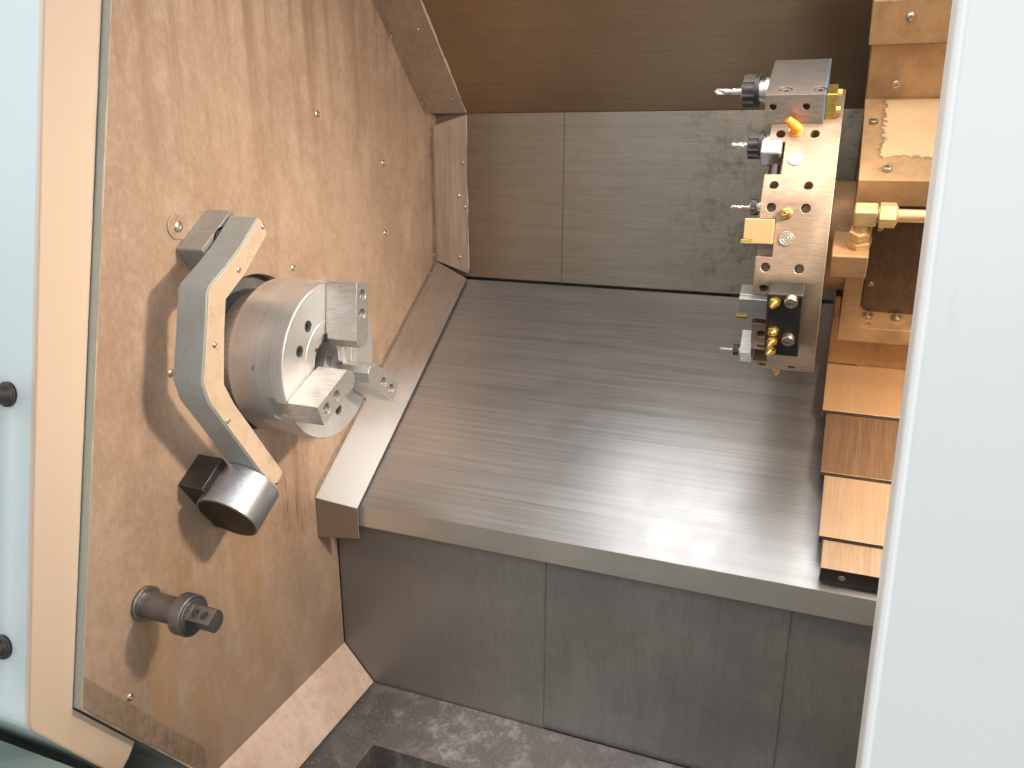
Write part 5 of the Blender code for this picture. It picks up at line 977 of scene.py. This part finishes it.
# %% Wall fasteners and flanges
dots = [(0.1121, 0.1259), (0.2153, 0.386), (0.4371, 0.297), (0.4326, 0.1548), (-0.3465, -0.4334), (-0.194, 0.0155)]
heads = [screw(Vector((WALL, y, z)), X, 0.0062, 0.003, "button") for y, z in dots]
heads.append(screw(Vector((-0.1425, -0.1488, 0.2220)), X, 0.0082, 0.004, "button"))
piece("wall_screws", joined(*heads), BRIGHT, "machine_frame")
FLANGE = film("flange_film", (0.27, 0.19, 0.13), (0.19, 0.125, 0.08), (0.24, 0.18, 0.13), 0.3, 0.4, 0.4, False)
joints = [[(0.128, -0.3275), (0.6695, 0.0545)], [(0.6655, 0.062), (0.6655, 0.3735)], [(0.652, 0.402), (0.225, 0.822)]]
strips, rivets = [], []
for (y0, z0), (y1, z1) in joints:
    run = Vector((0, y1 - y0, z1 - z0))
    side = X.cross(run).normalized() * 0.020
    foot = Vector((WALL, y0, z0))
    strips.append(prism([foot, foot + run, foot + run * 0.985 + side, foot + run * 0.015 + side], X * 0.0011))
    count = max(2, round(run.length / 0.17))
    rivets += [screw(foot + run * (0.06 + 0.88 * i / (count - 1)) + side * 0.5 + X * 0.0011, X, 0.0045, 0.0022,
                     "rivet") for i in range(count)]
piece("wall_flanges", joined(*strips), FLANGE, "machine_frame", (), 0.0003)
trim_rivets = [(-0.095, 0.5138 - 0.002, 0.556), (-0.0858, 0.6475 - 0.002, 0.4278)]
trim_rivets += [(-0.0759, 0.6780, 0.2923), (-0.0866, 0.6760, 0.2181), (-0.0728, 0.6785, 0.1932),
                (-0.0868, 0.6758, 0.0764)]
for x, y, z in trim_rivets:
    axis = Vector((0, -0.71, -0.70)) if z > 0.4 else Vector((0.17, -0.985, 0))
    rivets.append(screw(Vector((x, y, z)), axis.normalized(), 0.0045, 0.0022, "rivet"))
piece("trim_rivets", joined(*rivets), BRIGHT, "machine_frame")
low_plate = [(-0.4205, -0.398), (-0.2245, -0.680), (-0.2235, -0.625), (-0.2285, -0.6158), (-0.4111, -0.354),
             (-0.4165, -0.372)]
LOW = film("low_plate_film", (0.31, 0.22, 0.155), (0.22, 0.15, 0.10), (0.24, 0.18, 0.13), 0.4, 0.3, 0.42, False)
piece("wall_plate", slab(low_plate, WALL, WALL + 0.0012), LOW, "machine_frame", (), 0.0003)


# %% Sealant beads
def bead(points, radius, seed, sides=8, step=0.004):
    """A tube along straight runs whose radius wanders; where it sinks the bead is broken."""
    chance = Random(seed)
    path = []
    for start, end in zip(points, points[1:]):
        count = max(2, int((end - start).length / step))
        path += [start.lerp(end, i / count) for i in range(count)]
    path.append(points[-1])
    bm = bmesh.new()
    rings, level = [], 0.7
    rough_ends = (0, len(path) - 1)
    for i, spot in enumerate(path):
        axis = (path[min(i + 1, len(path) - 1)] - path[max(i - 1, 0)]).normalized()
        level = min(1.1, max(0.12, level + chance.uniform(-0.22, 0.22)))
        size = radius * (0.1 if i in rough_ends else level)
        rings.append(ring_of(bm, spot, axis, sides, lambda angle: size))
    return skin(bm, rings)


PUTTY = casting("old_sealant", (0.66, 0.55, 0.42), (0.48, 0.38, 0.27), (0.2, 0.14, 0.09), 0.4, 0.0, 0.6,
                (0.75, 0.66, 0.52), 1.5, 0.0008)
upper_edge = [Vector((-0.0668, 0.6815, 0.4005)), Vector((-0.0668, 0.2600, 0.8150))]
back_edge = [Vector((-0.0665, 0.6815, 0.045)), Vector((-0.0665, 0.6815, 0.398))]
front_edge = [Vector((-0.1452, -0.4220, -0.398)), Vector((-0.1452, -0.2245, -0.682))]
beads = [bead(upper_edge, 0.0030, 3), bead(back_edge, 0.0016, 5), bead(front_edge, 0.0022, 7),
         bead([Vector((-0.1452, -0.4225, -0.396)), Vector((-0.1452, -0.1775, 0.66))], 0.0014, 9)]
piece("sealant", joined(*beads), PUTTY, "machine_frame")
print("rivets", len(rivets))

# %% [markdown]
# ## The turret
# Twelve flats round a drum carry the tools. The disc is one prism of a twelve-sided outline; its
# screw holes and tool pockets are cut in a single Boolean, then every edge gets a small bevel, which
# catches light as the real ground edges do.

# %% The turret disc
PIVOT = UP * 0.391
DISC_FRONT = PIVOT + X * 0.634
DISC_RADIUS = 0.222
APOTHEM = DISC_RADIUS * cos(pi / 12)


def facet(number):
    angle = radians(205.8 + 30 * (number - 4))
    out = Vector((0, cos(angle), sin(angle)))
    return X, out, X.cross(out)


def on_facet(number, x, t, r=APOTHEM):
    along, out, side = facet(number)
    return PIVOT + along * x + out * r + side * t


def facet_block(number, x0, x1, r0, r1, t0, t1):
    return block((x0, r0, t0), (x1, r1, t1), facet(number), PIVOT)


corners = [DISC_FRONT + (facet(n)[1] * cos(pi / 12) + facet(n)[2] * sin(pi / 12)) * DISC_RADIUS for n in range(12)]
disc = prism(corners, X * 0.093)
sinks = [hole(on_facet(n, x, t), facet(n)[1], 0.0062, 0.018, 28) for n in range(1, 13) for x in (0.6485, 0.6935)
         for t in (-0.041, 0.041)]
disc = carve(disc, joined(*sinks))
POCKETS = {2: (-0.028, 0.024), 3: (-0.026, 0.026), 4: (-0.030, 0.022), 5: (-0.026, 0.026)}
disc = carve(disc, joined(*[facet_block(n, 0.62, 0.656, APOTHEM - 0.024, 0.24, low, high)
                            for n, (low, high) in POCKETS.items()]))
piece("turret_body", disc, TURRET, "turret", ("turret_disc",), 0.0009)
plugs = [screw(on_facet(n, 0.6725, 0.0), facet(n)[1], 0.0098, 0.0016, "plug", 40) for n in range(1, 13)
         if n not in (1, 4, 5)]
piece("turret_plugs", joined(*plugs), BRIGHT, "turret")


def nozzle(place, axis, tip):
    """Brass coolant nozzle: a hexagon with a ball that is aimed at the tool."""
    seat = turned([(0, 0), (0, 0.0070, "hex"), (0.0045, 0.0070, "hex"), (0.0055, 0.0058), (0.0055, 0)], place, axis)
    ball = place + axis * 0.0065
    spout = turned([(-0.004, 0), (-0.004, 0.0036), (-0.001, 0.0052), (0.0025, 0.0048), (0.006, 0.0034),
                    (0.0075, 0.0032), (0.0075, 0.0016), (0.003, 0.0012), (0.003, 0)], ball, tip.normalized(), 24)
    return joined(seat, spout)


aimed = [nozzle(on_facet(n, 0.670, -0.034), facet(n)[1], facet(n)[1] - X * 0.35) for n in (3, 6, 7, 8, 9, 10, 11, 12)]
aimed += [nozzle(on_facet(4, x, t, APOTHEM + 0.0303), facet(4)[1], facet(4)[1] * 0.7 + facet(4)[2] * s - X * 0.5)
          for x, t, s in ((0.6670, -0.043, 0.4), (0.6675, 0.008, -0.3), (0.667, 0.026, 0.5), (0.666, 0.042, 0.3))]
piece("brass_nozzles", joined(*aimed), BRASS, "turret")
print("turret body made")

# %% [markdown]
# ## Drills in their collets
# A drill is a round section with two hollows, twisted as it is swept, with a cone for a point. The
# collet nut is a ring with notches for a hook spanner. Both come from the turned shape with one
# twist: the radius may depend on the angle.


# %% Drills and nuts
def swept(start, axis, length, section, rings, twist=0.0, tip=0.0, sides=24):
    """Rings of a section along an axis; the section gives a radius for an angle."""
    bm = bmesh.new()
    loops = []
    for i in range(rings + 1):
        along = i / rings * length
        shrink = min(1.0, (length - along) / tip + 0.04) if tip else 1.0
        loops.append(ring_of(bm, start + axis * along, axis, sides, lambda angle: section(angle, along) * shrink,
                             twist * along))
    return skin(bm, loops)


def drill(start, axis, radius, length):
    shank = length * 0.25

    def section(angle, along):
        hollow = max(0.0, cos(2 * angle)) ** 0.6 if along > shank else 0.0
        return radius * (1 - 0.5 * hollow)
    return swept(start, axis, length, section, 60, 1.0 / (radius * 1.9), radius * 1.1)


def collet(name, place, sizes, node, notches=12):
    """Neck, notched nut and drill, pointing at the chuck."""
    nut_radius, nut_length, neck, drill_radius, drill_length = sizes
    r = nut_radius
    axis = -X
    shaft = turned([(0.0003, 0), (0.0003, r * 0.78), (neck * 0.45, r * 0.78), (neck * 0.5, r * 0.66),
                    (neck, r * 0.66), (neck, 0)], place, axis, 48)
    bit = drill(place + axis * (neck + nut_length - 0.001), axis, drill_radius, drill_length + 0.001)
    nose = turned([(0, 0), (0, r * 0.60), (0.0012, r * 0.56), (0.0012, 0)],
                  place + axis * (neck + nut_length - 0.0002), axis, 40)

    def section(angle, along):
        share = along / nut_length
        notch = (angle * notches / (2 * pi)) % 1 < 0.38 and share > 0.25
        return r * (0.66 if share > 0.985 else 0.80 if share > 0.93 else 0.90 if notch else 1.0)
    nut = swept(place + axis * neck, axis, nut_length, section, 28, sides=96)
    piece(f"{name}_drill", joined(shaft, bit, nose), STEEL, "turret", (node,) if node else ())
    piece(f"{name}_nut", nut, BLACK, "turret", (), 0.0)


collet("large", DISC_FRONT + facet(1)[1] * (APOTHEM + 0.024) - X * 0.010, (0.023, 0.024, 0.014, 0.0045, 0.042),
       "collet_chuck_large")
collet("small", DISC_FRONT + facet(2)[1] * (APOTHEM - 0.0168) - facet(2)[2] * 0.0336,
       (0.0195, 0.022, 0.008, 0.004, 0.026), "collet_chuck_small")
collet("upper", DISC_FRONT + facet(3)[1] * (APOTHEM - 0.012) - facet(3)[2] * 0.0408,
       (0.011, 0.010, 0.004, 0.002, 0.028), "small_drill_upper", 8)
collet("lower", DISC_FRONT + facet(5)[1] * (APOTHEM - 0.006) - X * 0.013, (0.009, 0.009, 0.008, 0.002, 0.022), "", 8)
seat = facet_block(5, 0.616, 0.6337, APOTHEM - 0.034, APOTHEM + 0.006, -0.020, 0.020)
seat = carve(seat, joined(hole(on_facet(5, 0.616, 0.012, APOTHEM - 0.022), -X, 0.0045, 0.007)))
GREY = machined("ground_steel", (0.56, 0.56, 0.55), (0.42, 0.42, 0.41), None, 0.32, 0.8, (0.3, 0.24, 0.18), 0.3)
piece("drill_seat", seat, GREY, "turret", ("drill_block",), 0.0012)
print("drills made")

# %% [markdown]
# ## Tool blocks and turning tools
# The block on the top flat is blackened steel with two cap screws sunk in it; the one below the
# front flat is thinner and carries a row of nozzles. Each turning tool is a square shank in a pocket
# of the disc, with a clamped insert at its corner.

# %% The two dark blocks
DARK = machined("dark_steel", (0.36, 0.33, 0.31), (0.26, 0.24, 0.22), None, 0.34, 0.8, (0.20, 0.14, 0.09), 0.4,
                (0.62, 0.54, 0.45), (0.7010, 0.7032, (0.25, 0.42, 0.58)))
profile = [(0.0003, -0.075), (0.0393, -0.075), (0.0423, -0.052), (0.0423, 0.058), (0.0003, 0.058)]
top_block = prism([PIVOT + X * 0.624 + facet(1)[1] * (APOTHEM + r) + facet(1)[2] * t for r, t in profile], X * 0.079)
caps = [on_facet(1, x, 0.041, APOTHEM + 0.0423) for x in (0.6491, 0.6949)]
front_holes = [PIVOT + X * x + facet(1)[1] * 0.239 + facet(1)[2] * 0.058 for x in (0.6346, 0.6787)]
sinks = [hole(c, facet(1)[1], 0.0095, 0.010, 32) for c in caps]
sinks += [hole(c, facet(1)[2], 0.0050, 0.016, 28) for c in front_holes]
piece("top_block", carve(top_block, joined(*sinks)), DARK, "turret", ("drill_holder",), 0.0012)
heads = [screw(c - facet(1)[1] * 0.0098, facet(1)[1], 0.0083, 0.0085) for c in caps]
low_block = facet_block(4, 0.6563, 0.704, APOTHEM + 0.0003, APOTHEM + 0.0303, -0.055, 0.055)
piece("low_block", low_block, BLACK, "turret", ("tool_block",), 0.0022)
heads += [screw(on_facet(4, 0.6885, t, APOTHEM + 0.0303), facet(4)[1], 0.0088, 0.0095) for t in (-0.047, 0.020)]
heads.append(screw(on_facet(5, 0.6485, 0.041, APOTHEM - 0.012), facet(5)[1], 0.005, 0.006))
piece("block_screws", joined(*heads), BRIGHT, "turret")
manifold = block((0.7034, APOTHEM + 0.0003, 0.010), (0.7170, APOTHEM + 0.036, 0.044), facet(1), PIVOT)
sprouts = [screw(PIVOT + X * 0.7170 + facet(1)[1] * (APOTHEM + r) + facet(1)[2] * t, X, 0.0048, 0.006, "nut")
           for r, t in ((0.028, 0.020), (0.010, 0.034))]
piece("nozzle_block", manifold, BRASS, "turret", (), 0.001)
piece("nozzle_block_tips", joined(*sprouts), BRASS, "turret")


# %% The turning tools
def turning_tool(name, number, node, finish, size=0.034):
    near = POCKETS[number][0] + 0.0003
    low, high = APOTHEM - 0.0237, APOTHEM + 0.012
    shank = facet_block(number, 0.616, 0.6557, low, high, near, near + size)
    slit = facet_block(number, 0.60, 0.6385, high - 0.010, high - 0.0085, near - 0.01, near + size + 0.01)
    seat = facet_block(number, 0.60, 0.6285, high - 0.013, high + 0.01, near + size - 0.0055, near + size + 0.01)
    shank = carve(carve(shank, slit), seat)
    piece(f"{name}_shank", shank, finish, "turret", (node,), 0.0011)
    along, out, side = facet(number)
    foot = PIVOT + X * 0.6145 + out * (high - 0.0105) + side * (near + size - 0.0052)
    insert = prism([foot, foot + X * 0.0125 + out * 0.002, foot + X * 0.0145 + out * 0.0135, foot + out * 0.0130
                    - X * 0.0012], side * 0.0052)
    bolt = screw(foot + X * 0.0065 + out * 0.0065 + side * 0.0052, side, 0.0026, 0.001, "button")
    piece(f"{name}_insert", joined(insert, bolt), BRASS, "turret", (), 0.0004)


TOOL_TAN = casting("tool_tan", (0.62, 0.39, 0.20), (0.50, 0.29, 0.13), (0.22, 0.12, 0.05), 0.3, 0.5, 0.36,
                   (0.85, 0.66, 0.42), 1.5, 0.0004)
turning_tool("upper_tool", 3, "turning_tool_upper", TOOL_TAN)
turning_tool("lower_tool", 4, "turning_tool_lower", GREY)
clamp = facet_block(2, 0.6240, 0.6530, APOTHEM - 0.0235, APOTHEM + 0.0085, -0.0277, -0.004)
piece("side_tool", clamp, GREY, "turret", (), 0.0040)
dowel = rod(on_facet(2, 0.6455, 0.004, APOTHEM - 0.012), on_facet(2, 0.6455, 0.0225, APOTHEM - 0.012), 0.0075, 32)
piece("pocket_pin", dowel, BLACK, "turret")
ORANGE = Finish("orange_nozzle_plastic", Roughness=0.4)
shade = ORANGE.mix(ORANGE.cloud(90.0, 4.0), (0.98, 0.30, 0.02), (0.85, 0.21, 0.012))
root = on_facet(2, 0.6680, -0.0450)
tip = (facet(2)[1] * 0.55 - X * 0.75 - facet(2)[2] * 0.35).normalized()
elbow = root + facet(2)[1] * 0.011
spout = turned([(-0.006, 0), (-0.006, 0.0068), (0.005, 0.0066), (0.016, 0.0050), (0.016, 0.0030), (0.008, 0.0028),
                (0.008, 0)], elbow, tip, 32)
stem = turned([(0, 0), (0, 0.0072), (0.004, 0.0076), (0.011, 0.0070), (0.014, 0.0052), (0.014, 0)], root,
              facet(2)[1], 32)
piece("orange_nozzle", joined(stem, spout), ORANGE.finish(shade, ORANGE.cloud(400.0), 0.05), "turret")
collar = turned([(0, 0.0073), (0, 0.0100), (0.002, 0.0096), (0.002, 0.0073)], root, facet(2)[1], 40)
piece("nozzle_collar", collar, BRASS, "turret")
print("tools made")

# %% [markdown]
# ## Housing, cover and coolant fitting
# The housing keeps its solid and gets what is bolted to it: a plate in the rounded recess, dark with
# painted shade, cap screws on the foot, and the block that feeds coolant to the turret, with its elbow,
# union nut and pipe.


# %% Fittings of the housing
def rounded_outline(x0, x1, y0, y1, corner, grow=0.0):
    """Points of a rectangle with round corners, which may grow outward all round."""
    radius = corner + grow
    centres = ((x1 - corner, y1 - corner), (x0 + corner, y1 - corner), (x0 + corner, y0 + corner),
               (x1 - corner, y0 + corner))
    turns = [(centre, radians(90 * quarter + 15 * i)) for quarter, centre in enumerate(centres) for i in range(7)]
    return [(x + radius * cos(turn), y + radius * sin(turn)) for (x, y), turn in turns]


def rounded_plate(x0, x1, a, b0, b1, corner, thick):
    """Plate with round corners that faces down the slope."""
    return prism([slope_point(x, a, b) for x, b in rounded_outline(x0, x1, b0, b1, corner)], UP * thick)


# The recess plate faces down the slope; its dark brown is painted shade.
PLATE = brushed("recess_plate_painted_shade", (0.145, 0.095, 0.055), (0.085, 0.052, 0.03), (1, 0.2, 0.2),
                (0.06, 0.035, 0.02), 0.5, 0.5, 0.4, specks=0.3, edge=(0.3, 0.2, 0.12))
piece("recess_plate", rounded_plate(0.7865, 1.0665, 0.3375, -0.1062, 0.1162, 0.017, 0.0040), PLATE,
      "cross_slide_unit", (), 0.0006)
heads = [screw(slope_point(x, 0.3375, b), -UP, 0.0048, 0.0028, "button") for x, b in
         ((0.7960, 0.055), (0.7960, -0.050), (0.93, 0.055), (0.93, -0.050), (1.055, 0.055), (1.055, -0.050))]
heads += [screw(slope_point(x, 0.326, -0.1099), OFF, 0.0072, 0.0075) for x in (0.7987, 0.8418, 0.93, 1.02)]
heads += [screw(slope_point(0.7997, 0.3085, -0.1099), OFF, 0.0038, 0.002)]
heads += [screw(slope_point(x, a, 0.1604), OFF, 0.0062, 0.0058) for x, a in ((0.7700, 0.4549), (0.7920, 0.3262))]
heads += [screw(slope_point(0.7960, 0.5178, 0.1900), -UP, 0.0058, 0.0045),
          screw(slope_point(0.8020, 0.5178, 0.2890), -UP, 0.0066, 0.0040, "button")]
piece("housing_screws", joined(*heads), BRIGHT, "cross_slide_unit")
FITTING = machined("coated_fitting", (0.80, 0.60, 0.32), (0.60, 0.42, 0.20), None, 0.36, 0.6, (0.42, 0.28, 0.12), 0.4,
                   edge=(0.92, 0.78, 0.5))
feed = slope_block(0.733, 0.782, 0.2397, 0.2997, 0.036, 0.075)
piece("coolant_manifold", feed, TAN, "cross_slide_unit", ("coolant_block",), 0.0022)
foot = slope_point(0.768, 0.2697, 0.075)
bend = foot + OFF * 0.050
riser = turned([(-0.001, 0), (-0.001, 0.0150, "hex"), (0.009, 0.0150, "hex"), (0.0095, 0.0118), (0.013, 0.0118),
                (0.0135, 0.0138, "hex"), (0.024, 0.0138, "hex"), (0.025, 0.0105), (0.040, 0.0105), (0.040, 0)],
               foot, OFF, 48)
elbow = block((-0.0125, -0.0125, -0.0125), (0.0185, 0.0125, 0.0125), (X, UP, OFF), bend)
union = turned([(0.0185, 0), (0.0185, 0.0105), (0.020, 0.0105), (0.0205, 0.0150, "hex"), (0.0400, 0.0150, "hex"),
                (0.0425, 0.0125), (0.0440, 0.0088), (0.250, 0.0088), (0.250, 0)], bend, X, 48)
piece("coolant_riser", riser, FITTING, "cross_slide_unit")
piece("coolant_elbow", elbow, FITTING, "cross_slide_unit", (), 0.0035)
piece("coolant_union", union, FITTING, "cross_slide_unit")
end = bend + X * 0.242
back = turned([(-0.0105, 0), (-0.0105, 0.0105), (0.0298, 0.0105), (0.0298, 0)], end, UP, 40)
piece("coolant_return", back, FITTING, "cross_slide_unit", (), 0.001)

# %% [markdown]
# Each way cover carries a rubber wiper under its front fold, a strip that rides with its own sheet, so
# it stays in place when the sheets slide apart.

# %% Wipers of the way covers
bodies = {1: "cross_slide_unit", 2: "upper_way_cover", 3: "lower_way_cover"}
for number, low in ((1, 0.29), (2, 0.156), (3, 0.033)):
    inset_x = 0.007 * (number - 1)
    top = -0.3017 - inset_x
    lip = slope_block(0.749 + inset_x, 1.13 - inset_x, low - 0.0016, low - 0.0001, top - 0.0066, top - 0.0030)
    piece(f"wiper_{number}", lip, RUBBER, bodies[number], (), 0.0003)
end_screws = [screw(slope_point(x, -0.02, -0.3420), -UP, 0.0055, 0.0030, "button") for x in (0.8024, 0.95, 1.075)]
piece("end_screws", joined(*end_screws), BRIGHT, "carriage")
print("carriage dressed")

# %% [markdown]
# ## Door, handle and controls
# The door's end is deeper than its sheet: a folded edge reaches back until it nearly touches the
# bulkhead, so no light comes through. Its section follows the door on one side and the bulkhead,
# with a running gap, on the other. One thin sheet then covers the whole end, because a real door is
# folded there and shows no seam.
#
# The handle is a chromed tube between two black collars. The window sits in a rubber gasket. On the
# control panel a dark screen, rows of blank keys and a few knobs suggest a control without naming
# one: no key carries a letter.


# %% Section of the door's edge
DOOR_FACE, DOOR_TOP, DOOR_CORNER, DOOR_FOOT = -0.4052, 0.715, 0.383, 0.2045
WALL_FRONT, WALL_CORNER, WALL_LEAN, RUNNING_GAP = -0.423, -0.398, 0.2326, 0.0022


def door_back(z):
    return DOOR_FACE + LEAN * z + 0.0521


def wall_front(z):
    return WALL_FRONT + (z - WALL_CORNER) * WALL_LEAN - RUNNING_GAP


APRON = radians(57)
along_foot, inward = Vector((0, cos(APRON), -sin(APRON))), Vector((0, sin(APRON), cos(APRON)))
corner = Vector((0, DOOR_FACE - LEAN * DOOR_CORNER, -DOOR_CORNER))
inner_face = corner + inward * 0.0251
wall_run = Vector((0, 0.2, -0.287)).normalized()
wall_out = Vector((0, -wall_run.z, wall_run.y)) * -1
back_line = [inner_face + along_foot * DOOR_FOOT,
             Vector((0, WALL_FRONT, WALL_CORNER)) + wall_run * 0.150 + wall_out * 0.0024,
             Vector((0, wall_front(WALL_CORNER), WALL_CORNER - 0.001)), Vector((0, wall_front(DOOR_TOP), DOOR_TOP))]
rail = [Vector((0, door_back(DOOR_TOP), DOOR_TOP)), inner_face + along_foot * 0.0466] + back_line
print("door edge", [tuple(round(c, 3) for c in point.yz) for point in rail])

# %% The folded edge and the end sheet
# The folded edge and end sheet are peach: painted warm light from the chamber over the door's paint.
WARM_LIGHT_LIP = painted("lip_painted_warm_light", (0.67, 0.51, 0.38), (0.63, 0.48, 0.355), tint=(X, -0.3, -0.25, (0.67, 0.51, 0.38)))
edge = prism([p - X * 0.190 for p in rail], X * 0.0300)
piece("door_edge", edge, WARM_LIGHT_LIP, "door")
above, below = corner + FACE_UP * 0.012, corner + along_foot * 0.012
curve = [above * (1 - t) ** 2 + corner * (2 * t * (1 - t)) + below * t ** 2 for t in (0, 0.25, 0.5, 0.75, 1)]
outer = [corner + FACE_UP * (DOOR_TOP + DOOR_CORNER) / FACE_UP.z] + curve + [corner + along_foot * DOOR_FOOT]
cap = prism([p + inward * 0.001 - X * 0.160 for p in outer] + [p - X * 0.160 for p in back_line], X * 0.0006)
piece("door_end_sheet", cap, WARM_LIGHT_LIP, "door")
print("door edge made")


# %% Door handle and window gasket
def front(x, up, out=0.0):
    """A point on the leaning front: up is measured along the door."""
    return Vector((x, DOOR_FACE, 0)) + FACE_UP * up + FACE_OUT * out


CHROME = machined("chrome_tube", (0.78, 0.78, 0.79), (0.66, 0.66, 0.67), rough=0.10, stained=0.15)
slant = (1 + LEAN * LEAN) ** 0.5
low_end, high_end = -0.318 * slant, 0.068 * slant
tube = rod(front(-0.207, low_end, 0.045), front(-0.207, high_end, 0.045), 0.011, 40, 0.002)
piece("handle_tube", tube, CHROME, "door", ("door_handle",))
collars = []
for up in (low_end + 0.033, high_end - 0.033):
    collars.append(turned([(0.0003, 0), (0.0003, 0.016), (0.004, 0.016), (0.006, 0.0125), (0.034, 0.0115),
                           (0.045, 0.0115), (0.045, 0)], front(-0.207, up), FACE_OUT, 40))
    collars.append(turned([(-0.012, 0), (-0.012, 0.0140), (-0.010, 0.0155), (0.010, 0.0155), (0.012, 0.0140),
                           (0.012, 0)], front(-0.207, up, 0.045), FACE_UP, 40))
piece("handle_collars", joined(*collars), BLACK, "door")


def frame_strip(x0, x1, z0, z1, width, out0, out1, corner):
    """A rounded frame on the front, as one closed ring."""
    bm = bmesh.new()
    rings = [[bm.verts.new(front(x, z, out)) for x, z in rounded_outline(x0, x1, z0, z1, corner, grow)]
             for grow, out in ((width, out0), (width, out1), (0, out1), (0, out0))]
    return skin(bm, rings, closed=True)


gasket = frame_strip(-0.949, -0.421, -0.1595 * slant, 0.4195 * slant, 0.012, 0.0002, 0.003, 0.040)
piece("window_gasket", gasket, RUBBER, "door", (), 0.0008)
print("door dressed")

# %% [markdown]
# The knobs are turned on the axes that their solids already have. The keys are one joined piece, for
# they never move apart from the panel; the stop's cap and the handwheel ride on bodies of their own.

# %% Controls
SCREEN = Finish("screen_glass", Roughness=0.08, Coat_Weight=1.0, Coat_Roughness=0.05)
dark = SCREEN.mix(SCREEN.cloud(9.0, 5.0), (0.015, 0.02, 0.024), (0.03, 0.036, 0.04))
pane = block((1.172, 0.222 * slant, 0.0463), (1.568, 0.498 * slant, 0.0478), (X, FACE_UP, FACE_OUT), front(0, 0))
piece("control_screen", pane, SCREEN.finish(dark, SCREEN.cloud(500.0), 0.02), "machine_frame", (),
      0.0006)
KEY = casting("key_plastic", (0.62, 0.62, 0.59), (0.55, 0.55, 0.52), (0.2, 0.19, 0.17), 0.25, 0.0, 0.45,
              (0.75, 0.75, 0.72), 2.0, 0.0003)
keys = []
for row in range(4):
    for column in range(12):
        x, up = 1.185 + 0.0315 * column, 0.190 * slant - 0.033 * row
        if row == 3 and (column < 3 or column > 6):
            continue
        keys.append(block((x, up - 0.022, 0.0502), (x + 0.022, up, 0.0535), (X, FACE_UP, FACE_OUT), front(0, 0)))
piece("control_keys", joined(*keys), KEY, "machine_frame", (), 0.0014)


def on_control(node):
    """Where a knob's axis meets the control panel."""
    low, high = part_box(node)
    middle = (low + high) / 2 - HOME
    return middle - FACE_OUT * ((middle - front(0, 0)).dot(FACE_OUT) - 0.050)


stop_foot, wheel_foot = on_control("stop_button"), on_control("handwheel")
RED = bpy.data.materials["red_plastic"]
knob = turned([(-0.017, 0), (-0.017, 0.0108), (0.0064, 0.0108), (0.0064, 0.0188), (0.009, 0.0200), (0.014, 0.0200),
               (0.0185, 0.0185), (0.0215, 0.0150), (0.0235, 0.0080), (0.024, 0)], stop_foot, FACE_OUT, 64)
piece("stop_cap", knob, RED, "emergency_stop", ("stop_button",))
YELLOW = Finish("yellow_plastic", Roughness=0.45)
hue = YELLOW.mix(YELLOW.cloud(70.0, 4.0), (0.85, 0.58, 0.03), (0.74, 0.48, 0.02))
ring = turned([(0.0003, 0.0208), (0.0003, 0.0290), (0.0022, 0.0290), (0.0040, 0.0270), (0.0040, 0.0208)], stop_foot,
              FACE_OUT, 64)
piece("stop_ring", ring, YELLOW.finish(hue, YELLOW.cloud(300.0), 0.05), "machine_frame")


def knurl(angle, along):
    return 0.0350 * (1 - 0.020 * (cos(angle * 60) > 0)) * (1.0 if along < 0.0135 else 0.94)


rim = swept(wheel_foot + FACE_OUT * 0.0003, FACE_OUT, 0.0157, knurl, 10, sides=240)
grip = turned([(0, 0), (0, 0.0062), (0.004, 0.0075), (0.0095, 0.0068), (0.0115, 0.0040), (0.0115, 0)],
              wheel_foot + FACE_OUT * 0.0155 + X * 0.022, FACE_OUT, 32)
piece("pulse_wheel", rim, BLACK, "wheel", ("handwheel",))
piece("wheel_grip", grip, CHROME, "wheel")
print("controls made")
